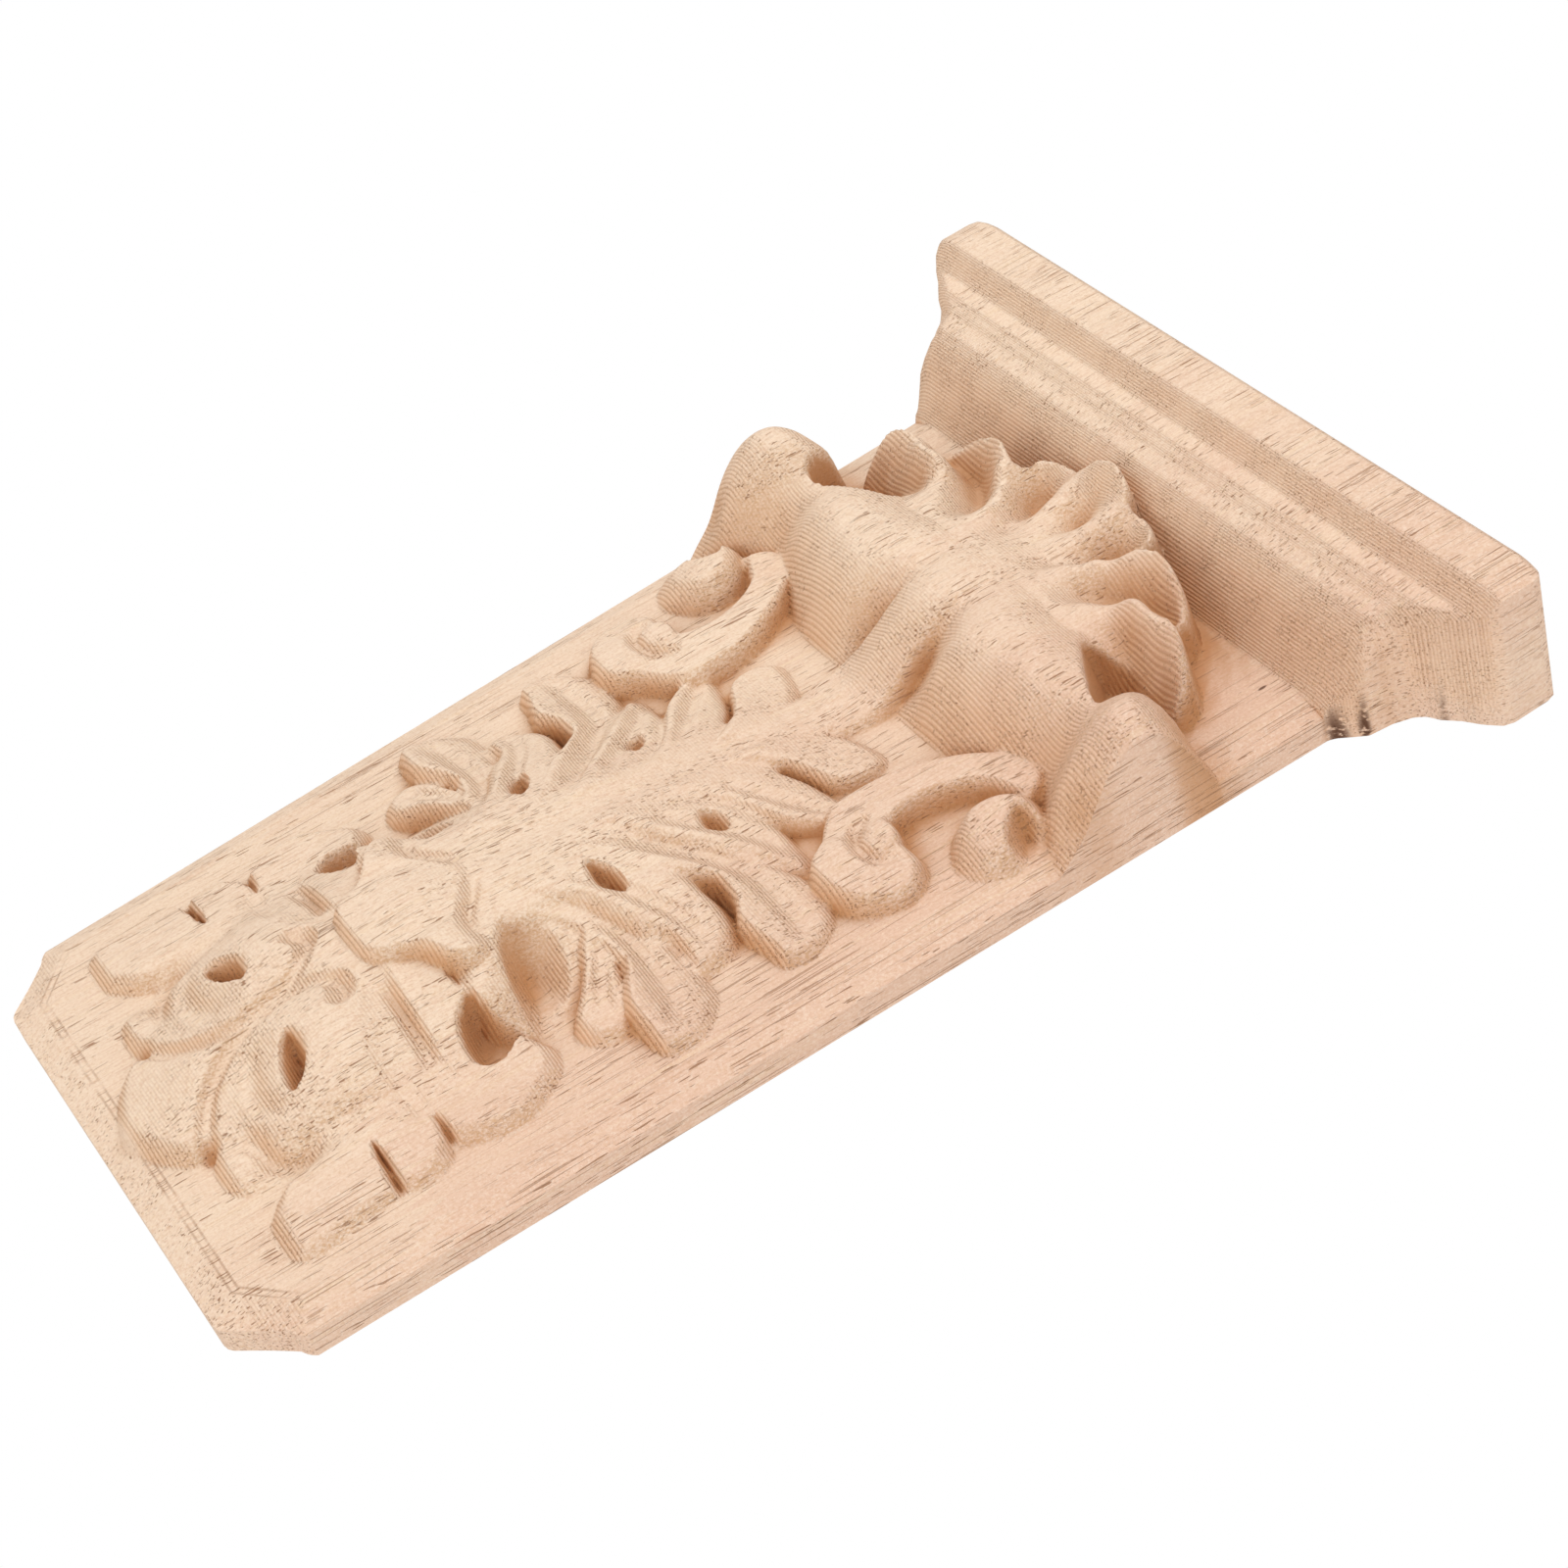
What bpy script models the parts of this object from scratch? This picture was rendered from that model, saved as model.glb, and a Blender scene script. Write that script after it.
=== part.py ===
"""Carved wood applique in the form of a pilaster head.

A tapering backboard with a hollow moulded cornice across its head, and acanthus
leaves, scrolls and a rolled capital carved from the same block.  It hangs against
a wall: its flat back lies on the plane Y = 0, the carving faces -Y and the foot
is at the bottom.  The left and right halves mirror each other.
"""

import bmesh
import bpy
import numpy as np

MM = 0.001

# Driving sizes, in millimetres.
LENGTH = 300.0
FOOT_HALF_WIDTH = 72.0
HEAD_HALF_WIDTH = 79.2
EDGE_THICKNESS = 6.2
FIELD_THICKNESS = 8.8
BEVEL_RUN = 6.4
BEVEL_LINE = 0.3
BEVEL_LINE_WIDTH = 0.8
NOTCH_WIDTH = 16.0
NOTCH_HEIGHT = 14.0
CORNER_RUN = (NOTCH_WIDTH ** 2 + NOTCH_HEIGHT ** 2) ** 0.5
CORNICE_START = 257.6
CORNICE_HALF_WIDTH = 103.5
CORNICE_DEPTH = 33.9
CORNICE_END_ROUND = 6.0
ORIGIN_HEIGHT = LENGTH / 2

# Fineness of the carved front before and after it is thinned out.
COLUMNS = 170
ROW_STEP = 1.15
KEPT_SHARE = 0.098

# How far a leaf's surface may pass its given heights by, to stay smooth.
SURFACE_EASE = 0.002


def curve_through(points, closed=False, steps=6):
    """A smooth curve through the points, as Catmull-Rom spans."""
    knots = np.asarray(points, float)
    if closed:
        before, after, ahead = (np.roll(knots, k, axis=0) for k in (1, -1, -2))
        starts = knots
    else:
        padded = np.vstack([2 * knots[0] - knots[1], knots, 2 * knots[-1] - knots[-2]])
        before, starts, after, ahead = (padded[k:len(padded) - 3 + k] for k in range(4))
    spans = []
    for t in np.arange(steps) / steps:
        spans.append(0.5 * (2 * starts + (after - before) * t
                            + (2 * before - 5 * starts + 4 * after - ahead) * t ** 2
                            + (3 * starts - before - 3 * after + ahead) * t ** 3))
    line = np.stack(spans, axis=1).reshape(-1, knots.shape[1])
    return line if closed else np.vstack([line, knots[-1]])


def both_sides(points):
    """The outline of a leaf on the centre line, from its right half."""
    left = [(-x, y) for x, y in reversed(points) if x > 0]
    return list(points) + left


def board_half_width(y):
    return FOOT_HALF_WIDTH + (HEAD_HALF_WIDTH - FOOT_HALF_WIDTH) * y / CORNICE_START


def notch_half_width(y):
    """The foot corners are cut as an ogee, round at the foot and hollow above."""
    corner = board_half_width(NOTCH_HEIGHT) - NOTCH_WIDTH
    heights = [0.0, 0.35, 1.2, 3.2, 6.3, 9.3, 11.6, 12.7, NOTCH_HEIGHT]
    widths = [0.0, 1.6, 2.8, 4.6, 7.4, 10.3, 12.6, 14.9, NOTCH_WIDTH]
    return corner + np.interp(y, heights, widths)


def cornice_half_width(y):
    """Plan of the cornice's ends: flare, quarter round, hollow and slab."""
    heights = [CORNICE_START, 259.2, 261.4, 264.4, 270.0, 274.4, 276.4, 277.6, 280.4, 282.6,
               285.2, 287.6, 296.5, 298.8, LENGTH]
    widths = [HEAD_HALF_WIDTH, 80.0, 81.9, 84.4, 85.2, 86.9, 88.8, 91.6, 95.2, 99.2,
              102.6, CORNICE_HALF_WIDTH, CORNICE_HALF_WIDTH, 102.8, 100.6]
    return np.interp(y, heights, widths)


def half_width(y):
    board = np.where(y < NOTCH_HEIGHT, notch_half_width(y), board_half_width(y))
    return np.where(y < CORNICE_START, board, cornice_half_width(y))


def cornice_front(y):
    """Profile of the cornice from the board up to the slab's flat face."""
    heights = [CORNICE_START, 259.0, 261.0, 263.4, 264.6, 266.4, 268.6, 271.0, 275.4, 276.4,
               278.4, 279.2, 283.0, 283.8, 285.2, 286.6, 287.8, 288.6, 299.0, LENGTH]
    depths = [FIELD_THICKNESS, 10.0, 12.6, 16.4, 18.6, 22.0, 24.8, 26.4, 27.4, 27.9,
              28.5, 29.0, 29.3, 29.8, 31.0, 32.6, 33.5, CORNICE_DEPTH, CORNICE_DEPTH, 33.1]
    return np.interp(y, heights, depths)


def board_front(x, y):
    """The plain board: a flat field, a fine line round it and a bevelled edge."""
    side = board_half_width(y) - np.abs(x)
    start = board_half_width(NOTCH_HEIGHT) - NOTCH_WIDTH
    corner = ((start - np.abs(x)) * NOTCH_HEIGHT + y * NOTCH_WIDTH) / CORNER_RUN
    inside = np.minimum(np.minimum(side, y), corner)
    slope = EDGE_THICKNESS + (FIELD_THICKNESS - EDGE_THICKNESS) * inside / BEVEL_RUN
    past = inside - BEVEL_RUN - BEVEL_LINE_WIDTH
    line = BEVEL_LINE * np.exp(-(past / BEVEL_LINE_WIDTH) ** 2)
    return np.clip(slope, EDGE_THICKNESS, FIELD_THICKNESS) - line


def cornice_block(x, y):
    """The cornice over the board, rounded down towards its two ends."""
    front = cornice_front(y)
    inside = np.clip(cornice_half_width(y) - np.abs(x), 0, CORNICE_END_ROUND)
    fall = (1 - inside / CORNICE_END_ROUND) ** 2
    drop = np.interp(y, [258, 264, 270, 276, 282, 289], [1.0, 3.5, 6.5, 3.0, 1.0, 1.4])
    return np.where(y >= CORNICE_START, front - drop * fall, 0)


class Carving:
    """The carved front, as a height over each point of the right half."""

    def __init__(self, x, y, ground):
        self.x = np.abs(x).ravel()
        self.y = y.ravel()
        self.z = ground.ravel().copy()

    def near(self, line, margin):
        low, high = line[:, :2].min(axis=0) - margin, line[:, :2].max(axis=0) + margin
        return np.nonzero((self.x > low[0]) & (self.x < high[0])
                          & (self.y > low[1]) & (self.y < high[1]))[0]

    def nearest(self, line, at, stretch=1.0):
        """Distance to the line, how far along it that is, and on which side."""
        here = np.stack([self.x[at], self.y[at] * stretch], axis=1)
        knots = line[:, :2] * [1, stretch]
        best = np.full(len(at), 1e9)
        along = np.zeros(len(at))
        side = np.ones(len(at))
        for number, (start, end) in enumerate(zip(knots[:-1], knots[1:])):
            step = end - start
            size = max(step @ step, 1e-9)
            t = np.clip((here - start) @ step / size, 0, 1)
            off = here - start - t[:, None] * step
            gap = np.hypot(off[:, 0], off[:, 1])
            closer = gap < best
            best[closer] = gap[closer]
            along[closer] = number + t[closer]
            turn = step[0] * off[:, 1] - step[1] * off[:, 0]
            side[closer] = np.sign(turn[closer])
        return best, along, side

    def inside(self, ring, at):
        x, y = self.x[at], self.y[at]
        found = np.zeros(len(at), bool)
        for start, end in zip(ring, np.roll(ring, -1, axis=0)):
            crosses = (start[1] > y) != (end[1] > y)
            rise = end[1] - start[1]
            if rise:
                found ^= crosses & (x < start[0] + (y - start[1]) / rise * (end[0] - start[0]))
        return found

    def spot_height(self, spots, at):
        """A smooth surface bent through spots, each (across, up, height)."""
        known = np.asarray(spots, float)
        place, height = known[:, :2] / 50.0, known[:, 2]
        flat = np.column_stack([np.ones(len(place)), place])

        def bend(points):
            away = ((points[:, None] - place[None]) ** 2).sum(axis=2)
            return away * np.log(away + 1e-12)

        size = len(place)
        matrix = np.zeros((size + 3, size + 3))
        matrix[:size, :size] = bend(place) + np.eye(size) * SURFACE_EASE
        matrix[:size, size:] = flat
        matrix[size:, :size] = flat.T
        target = np.concatenate([height, np.zeros(3)])
        weights = np.linalg.lstsq(matrix, target, rcond=None)[0]
        here = np.column_stack([self.x[at], self.y[at]]) / 50.0
        return bend(here) @ weights[:size] + weights[size] + here @ weights[size + 1:]

    def leaf(self, outline, spots, wall=3.0, stretch=1.0, swell=2.0):
        """A raised leaf: rounded walls round its outline, up to the spot heights."""
        ring = curve_through(outline, closed=True)
        at = self.near(ring, 0.1)
        at = at[self.inside(ring, at)]
        gap = self.nearest(np.vstack([ring, ring[:1]]), at, stretch)[0]
        rise = 1 - (1 - np.clip(gap / wall, 0, 1)) ** swell
        top = self.spot_height(spots, at)
        under = self.z[at]
        self.z[at] = np.maximum(under, under + (top - under) * rise)

    def hollow(self, outline, floor, wall=3.0, stretch=1.0):
        """A pocket cut down to its floor, with walls that run out at its outline."""
        ring = curve_through(outline, closed=True)
        at = self.near(ring, 0.1)
        at = at[self.inside(ring, at)]
        gap = self.nearest(np.vstack([ring, ring[:1]]), at, stretch)[0]
        sink = np.clip(gap / wall, 0, 1) ** 0.8
        over = np.maximum(self.z[at] - floor, 0)
        self.z[at] -= over * sink

    def dish(self, outline, spots, wall=3.0):
        """A hollow cut down to a smooth surface through its own spot heights."""
        ring = curve_through(outline, closed=True)
        at = self.near(ring, 0.1)
        at = at[self.inside(ring, at)]
        gap = self.nearest(np.vstack([ring, ring[:1]]), at)[0]
        over = np.maximum(self.z[at] - self.spot_height(spots, at), 0)
        self.z[at] -= over * np.clip(gap / wall, 0, 1) ** 0.8

    def ridge(self, path, left, right, power=2.0):
        """A rib: its path carries crest heights, and each side has its own width."""
        line = curve_through(path)
        at = self.near(line, max(left, right))
        gap, along, side = self.nearest(line, at)
        crest = np.interp(along, np.arange(len(line)), line[:, 2])
        share = np.clip(gap / np.where(side > 0, left, right), 0, 1)
        under = self.z[at]
        self.z[at] = np.maximum(under, crest - (crest - under) * share ** power)

    def groove(self, path, width, depth):
        """A gouge cut, deepest in its middle and running out at both ends."""
        line = curve_through(path)
        at = self.near(line, width)
        gap, along, _ = self.nearest(line, at)
        length = len(line) - 1
        fade = np.sin(np.pi * np.clip(along / length, 0, 1)) ** 0.5
        cut = np.clip(1 - (gap / width) ** 2, 0, 1) ** 1.5
        self.z[at] -= depth * cut * fade


def carve_palmette(carving):
    """The palmette at the foot: tongues, cheeks with their eyes, and side leaves."""
    carving.leaf([(-6, 4.8), (0, 4.6), (6.5, 6), (12, 8.8), (15.5, 11.2), (18.6, 15), (18.4, 18),
                  (22, 16.8), (27.8, 16.6), (32.4, 18), (34.2, 21.5), (34.8, 25), (36.6, 28),
                  (37.6, 26.4), (39.4, 23.8), (42, 21.6), (45, 19.6), (52, 19.2), (56.8, 19.8),
                  (59, 23), (58.6, 30), (57.6, 37), (57.6, 44), (58.4, 50), (57, 55.4),
                  (54.4, 57.4), (54.6, 60), (56.6, 64), (58.4, 69.4), (57.8, 74.6),
                  (55, 79.5), (51, 84.6), (46, 86.6), (43, 86), (38, 84), (30, 82), (20, 80),
                  (0, 78), (-8, 78), (-16, 60), (-16, 20)],
                 [(0, 10, 13.2), (5, 10, 13), (8, 13.5, 13.8), (0, 18, 15.6), (11, 17, 14.2),
                  (0, 28, 18.2), (4, 24, 17), (8, 32, 18.2), (8, 42, 22), (10, 50, 23.8),
                  (16, 34, 18), (22, 31, 16), (13, 38, 20), (17, 47, 22.8), (24, 47, 20.8),
                  (26, 40, 18.4), (28, 34, 16), (31.5, 37.6, 14.6), (27, 29.6, 14.4),
                  (22, 28, 14.6), (30, 44, 17.4), (34, 44, 15), (36, 38, 13.4),
                  (35, 34.7, 11.6), (35.6, 31, 10.6), (33.5, 25.6, 9.4), (28.2, 25, 11.2),
                  (22.3, 19.4, 12.4), (27, 20.7, 12), (30.7, 22, 11.2), (18, 22, 13.6),
                  (24, 24, 12.4), (14, 26, 15.4), (38.8, 27.4, 12.6), (44, 24, 12.4),
                  (52, 23.3, 12), (52, 32, 12.2), (46, 32, 12.8), (53.5, 40, 12),
                  (46, 40, 13.2), (40, 34, 13.2), (42, 46, 13.8), (50, 47, 12.6),
                  (54.5, 52, 12), (44, 54, 13.4), (38, 52, 15), (45, 60, 12.8),
                  (50, 62, 12.8), (52.4, 66, 12.8), (50.5, 72, 12.6), (53, 77, 12.2),
                  (50, 83, 12), (44, 67, 12.4), (0, 55, 23.4), (12, 54, 24.4), (12, 60, 24),
                  (22, 56, 22), (30, 54, 18.6), (36, 60, 15), (26, 62, 19), (16, 64, 21.5),
                  (0, 63, 24.6), (0, 50, 22.2), (0, 42, 21), (0, 36, 19.8), (38, 64, 14),
                  (30, 66, 17.4), (20, 68, 21.2), (12, 70, 23.6), (0, 72, 25), (24, 73, 20.4),
                  (30, 71, 18), (35, 69, 15.6), (40, 69, 13.2), (34, 78, 16.6),
                  (26, 78, 20)], wall=3.6, swell=1.7)
    # The valleys between the tongues, sweeping up round the cheeks.
    carving.groove([(20.5, 17), (15.6, 19.4), (11, 22), (7.6, 25), (4.6, 29), (2.2, 34),
                    (1, 41), (1.2, 48), (3.6, 54), (8, 59)], 2.8, 2.3)
    carving.groove([(36.6, 27), (36, 32), (35.4, 37), (35.4, 44), (38, 52), (43, 57.6)],
                   4.2, 1.1)
    carving.groove([(22, 25), (26, 26.4), (31, 27.6), (34.4, 31), (35.4, 35)], 2.6, 1.5)
    carving.groove([(9, 36), (12, 33.4), (18, 31.4), (24, 33), (28, 38)], 3.0, 0.7)
    carving.groove([(24, 58), (30, 56.4), (38, 56.8), (47, 58)], 3.0, 0.8)
    # The eyes of the cheeks, cut in steeply on the outer side.
    carving.hollow([(10.6, 43.2), (12.4, 45), (17.8, 45), (21.8, 42.4), (24, 38.8),
                    (22.4, 37.4), (18.6, 38), (14.4, 39.8)], 14.0, wall=2.8)
    # Saw-thin slits between the side leaves, and the dent under the acanthus's tip.
    carving.hollow([(43, 45.4), (46, 44.2), (52, 43.4), (60, 42.6), (60, 45.6), (52, 46),
                    (46, 46)], FIELD_THICKNESS, wall=1.2)
    carving.hollow([(44, 58.6), (48, 57.6), (54, 56.4), (57.6, 57.4), (54, 59.6), (49, 59.8)],
                   9.4, wall=1.5)
    carving.hollow([(4.4, 53.6), (8.4, 55), (12.4, 53.4), (15, 56.4), (13, 60.6), (8.4, 61.6),
                    (4.6, 58.6)], 21.0, wall=4)


def carve_collar(carving):
    """The arms of the collar round the acanthus, and the groove on their foot side."""
    carving.ridge([(14, 67.6, 24), (20, 68.6, 22.2), (26, 69.2, 20.2), (31.6, 69.2, 17.6),
                   (37, 69.4, 15), (41.6, 71, 12.8)], 4.6, 3.4)
    carving.groove([(11.6, 67), (17, 65.6), (24, 65), (30.6, 64.6), (36, 63.6)], 2.2, 1.7)


def carve_scoop(carving):
    """The scoop down to the board where an arm of the collar ends."""
    carving.hollow([(27.2, 78.6), (28.4, 75), (32, 72.4), (37, 71.2), (41, 72.2), (42.8, 76),
                    (41, 80.4), (38.6, 84.2), (36.4, 83), (33, 80.2)], FIELD_THICKNESS,
                   wall=2.2)


def carve_acanthus(carving):
    """The tall acanthus leaf: body, side lobes and the tip that turns over."""
    carving.leaf(both_sides([(0, 64), (7, 65), (12.4, 65.4), (16, 67.8), (20, 70.2), (28, 71.4),
                             (34, 73.2), (37.6, 76.6), (40.4, 81), (41.4, 86), (39, 89),
                             (40, 96), (38, 110), (34, 125), (30, 140), (24, 152),
                             (15, 160), (9, 170), (8, 182), (0, 186)]),
                 [(0, 66, 25), (0, 75, 26), (0, 85, 26), (0, 100, 25), (0, 115, 23.6),
                  (0, 130, 21.6), (0, 145, 18.8), (0, 160, 15.8), (0, 175, 13), (0, 184, 12),
                  (9, 70, 23), (16, 71.4, 19.4), (22, 76.6, 19), (28, 76, 18.6),
                  (30.4, 77.6, 19.8), (33.2, 80, 17.8), (34.4, 83.2, 15.2), (35, 86.5, 12.2),
                  (38, 84, 11), (31.8, 73.6, 15.4), (36, 76.4, 9.6), (38, 79, 9.4),
                  (22, 84, 23.6), (21, 90, 22.8), (18.3, 95, 22.6), (18, 102, 22.2),
                  (14, 110, 22.8), (12, 120, 21.8), (10, 130, 20.4), (9, 140, 18.6),
                  (8, 150, 16.6), (6, 165, 14.2), (6, 178, 12.4), (28, 83, 20.6),
                  (30, 90, 16), (26, 100, 17), (26, 112, 16), (34, 110, 13), (22, 125, 15.6),
                  (32, 125, 12.5), (20, 138, 14), (30, 138, 12), (18, 150, 12.6)], wall=3.2)
    carve_scoop(carving)
    carve_hollow(carving)
    carve_side_lobes(carving)
    carve_turned_tip(carving)


def carve_hollow(carving):
    """The deep hollow between the turned tip and the second side lobe."""
    carving.dish([(17, 93), (20, 90), (24, 88), (29, 86.4), (34, 85.6), (38, 85.2), (41, 87),
                  (43, 90.6), (41.6, 94.6), (38, 98), (34.6, 101.6), (31, 104.4), (26, 105),
                  (21.4, 102), (18, 98)],
                 [(37, 87, 9), (40, 90, 9), (32, 88.6, 10), (27, 91.4, 10.4), (33.6, 94.6, 10.4),
                  (28.4, 96, 12), (22.4, 93, 15.6), (23, 97.4, 16.4), (27, 100.6, 16.6),
                  (30.6, 102.6, 17), (19.4, 95.6, 19.6), (37, 96.6, 12), (33, 99, 13.6)],
                 wall=3.2)


LOBE_FLUTES = [
    ([(31, 106), (36, 104), (41, 101.4), (48, 98.4)], 2.8, 1.3),
    ([(19, 98), (24, 106), (31, 110.4), (40, 111.8), (50, 111), (60, 109)], 3.2, 1.5),
    ([(16, 110), (22, 115), (29, 119.6), (37, 123.4), (46, 125)], 3.0, 1.4),
    ([(14, 124), (20, 130.6), (28, 137.6), (36, 141.6), (47, 142), (58, 141.6)], 3.4, 1.5),
    ([(11, 133), (18, 140.6), (26, 147.6), (34, 152.4)], 2.8, 1.3),
    ([(10, 150.6), (18, 156.6), (26, 162.4), (30, 166.4)], 2.4, 1.1),
]


def carve_side_lobes(carving):
    """Seven lobes a side, each lapping the one nearer the foot."""
    carving.leaf([(26, 106), (29, 102.6), (33.4, 100), (37.4, 96.4), (41, 93), (45, 91.4),
                  (50, 93), (52.8, 97.6), (52, 102), (48, 105.4), (42, 107.4), (36, 109),
                  (30, 109)],
                 [(30, 105, 17.8), (34, 103, 16.8), (38, 100, 15.6), (42, 96.6, 13.8),
                  (46, 95, 12.6), (49.6, 97.6, 12), (48, 101.6, 12.6), (43, 102, 14.4),
                  (39, 105, 15), (34, 107, 16)], wall=3.4)
    carving.leaf([(13, 90), (18.4, 93), (20, 99), (23.5, 103), (27.5, 105.4), (34.7, 107),
                  (40, 106.4), (44, 104.4), (50, 101.6), (56, 101.4), (63, 102.8),
                  (65, 107), (64.6, 111.6), (61, 116.4), (56, 119.6), (46, 120), (34, 118),
                  (24, 112), (13, 104)],
                 [(18.6, 95, 22.8), (20.5, 99.5, 22), (24, 103.8, 20.8), (28, 106.6, 19.4),
                  (34.7, 108.8, 17.6), (39.7, 109, 16.6), (46.7, 108.2, 15.4),
                  (55.5, 106.8, 14), (61, 106.4, 12.6), (26, 109.4, 18.6), (36, 112.6, 15.4),
                  (46, 113.6, 13.2), (56, 113, 12), (41, 117, 13.4), (18, 101, 21.6)],
                 wall=3)
    carving.leaf([(10, 99), (17, 102.6), (22, 107.6), (28.6, 111.2), (35.6, 114.6),
                  (41.5, 118), (47.5, 118), (50.6, 120), (50.4, 124.4), (48, 128.8),
                  (43, 132.6), (34, 133), (22, 129), (10, 118)],
                 [(15, 107, 23.8), (20, 112, 22.4), (26.4, 115.6, 20.4), (34, 118.6, 17.6),
                  (41, 121.4, 15), (47, 122, 12.8), (20, 119, 21), (28, 121.4, 19),
                  (36, 126, 16.2), (44, 127.6, 13), (25, 126, 18.8)], wall=4)
    carving.leaf([(8, 112), (12.6, 117), (17.6, 121.4), (24.7, 126.8), (29, 130.4), (33, 133.6),
                  (39, 133.6), (45, 131.2), (49.4, 131.6), (54.6, 132.8), (60, 133.8),
                  (62, 138.6), (60.8, 143.4), (57, 147.8), (51.6, 150.8), (44, 151.6),
                  (34, 148), (24, 140), (12, 126)],
                 [(13, 121, 22), (17.6, 125.4, 20.8), (24, 130.6, 18.8), (29, 134.4, 17.2),
                  (34, 137, 16), (40, 137.6, 15), (47, 136.6, 14), (55, 137.6, 12.8),
                  (24, 136, 16.6), (32, 142, 13.8), (42, 145, 12.4), (52, 145, 11.8),
                  (17, 131, 18.4)], wall=2.8)
    carving.leaf([(5, 122), (10, 126), (16, 130), (24.8, 137.8), (31.6, 143.4), (37, 148.4),
                  (39.6, 151.6), (37, 154.4), (32, 154.8), (24, 155), (14, 150), (6, 140)],
                 [(10, 130, 21.4), (16, 135, 19.4), (23, 141, 17), (30, 146.6, 14.4),
                  (36, 151, 11.2), (20, 147, 15.6), (28, 151.4, 12.8), (12, 139, 18.6)],
                 wall=3.4)
    carving.leaf([(4, 140), (10, 145), (17, 149.8), (25, 153.6), (29.4, 157.4), (33, 163),
                  (31.4, 169.6), (24, 168.6), (15, 166), (6, 158)],
                 [(9, 149, 17.4), (17, 153.6, 15.6), (24.6, 157.4, 14), (30, 163.4, 12.2),
                  (23, 163.6, 12), (14, 159, 14.6)], wall=2.6)
    carving.leaf([(3, 156), (9, 162), (16, 166.2), (22, 168.8), (25.2, 173), (25.8, 178.6),
                  (23, 183.2), (17, 183), (9, 180), (3, 172)],
                 [(8, 165.6, 15), (15, 169.4, 13.8), (21, 173.4, 12.6), (21, 179, 11.6),
                  (12, 174.6, 12.4)], wall=2.6)
    # A flute runs down each lobe towards its tip.
    for path, width, depth in LOBE_FLUTES:
        carving.groove(path, width, depth)
    # The two drilled eyes, and the flute down the middle of the leaf.
    carving.hollow([(14.4, 115), (17.4, 113.6), (22, 114), (25.2, 117.4), (23.6, 119),
                    (18.6, 118.4)], 15.5, wall=2.4)
    carving.hollow([(13.6, 142.2), (16.4, 140.6), (19.6, 141.6), (21.2, 145), (19, 146.2),
                    (15.6, 145.2)], 12.5, wall=2.2)
    carving.groove([(0, 96), (0, 112), (0, 130), (0, 150), (0, 168)], 4.5, 0.8)


def carve_turned_tip(carving):
    """The leaf's tip, which turns over towards the foot."""
    carving.leaf(both_sides([(0, 64.4), (8, 65), (11.4, 68), (13, 72), (16, 75),
                             (21, 77.6), (24.6, 82.4), (22.6, 87.4), (17.4, 86.4),
                             (12.4, 87.4), (7, 91.4), (0, 94)]),
                 [(0, 70, 27.6), (0, 80, 28.4), (8, 72, 27.6), (0, 90, 26.8), (15.6, 79.4, 27.6),
                  (21, 83, 26.4), (21.4, 86, 25.4), (10, 84, 27)], wall=2.5)
    carving.groove([(3, 94), (8, 91), (12.8, 87.4), (18, 86.6)], 2.4, 1.2)
    carving.groove([(11, 70), (11.4, 78), (9, 86)], 3.6, 0.9)


def carve_scrolls(carving):
    """The C scroll beside the stem: band, lower volute and upper bud."""
    carving.leaf([(46, 204), (39, 197), (35, 191), (31, 183), (29.2, 175), (29.6, 165),
                  (33, 160), (38, 156), (42.6, 150.4), (50, 149.2), (57.6, 151.6),
                  (62.6, 158), (63.4, 165), (58, 170.6), (51, 170.8), (46, 171.4),
                  (44, 178), (46, 186), (50, 191.6), (54, 193.4), (60, 197), (56, 204)],
                 [(34, 176, 14.8), (36, 188, 14.8), (42, 196, 14.6), (50, 201, 14),
                  (34, 167, 14.8), (40, 174, 15.4), (41, 182, 15.2), (45, 190, 15),
                  (52, 196, 14.4), (50, 160, 15.8), (57, 164, 13.8), (46, 166, 15.4),
                  (40, 162, 14.8)], wall=2.6)
    carving.leaf([(42.4, 152.4), (50, 148.8), (58, 151.4), (63.2, 158), (63, 165),
                  (57, 169), (50, 168), (44, 163), (39.4, 158)],
                 [(47, 161, 16.4), (55, 164, 15)], wall=9, stretch=0.8, swell=1.6)
    carving.groove([(39.6, 168), (42.4, 163.6), (47, 161.4), (52.4, 162.6), (54.6, 167)],
                   2.2, 2.0)
    carving.leaf([(43.8, 165.4), (48, 163.8), (52, 166), (51, 170.4), (46.4, 171.8),
                  (43, 169)], [(47.4, 167.6, 16.4)], wall=2.6)
    carving.leaf([(51.4, 187), (52.6, 181.4), (56.6, 177), (63, 174.6), (69.4, 177),
                  (71.6, 183), (70.4, 190), (67, 196.4), (60, 198), (54, 193.6)],
                 [(56, 187, 16.4), (61, 193, 17), (62, 184, 15.8), (66, 181, 14)],
                 wall=5.4, swell=1.7)
    carving.hollow([(61.4, 192), (64, 187.4), (69, 184.6), (75, 186), (76.6, 189.8),
                    (71, 193.6), (65, 194.4)], 8.8, wall=3.4)


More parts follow.
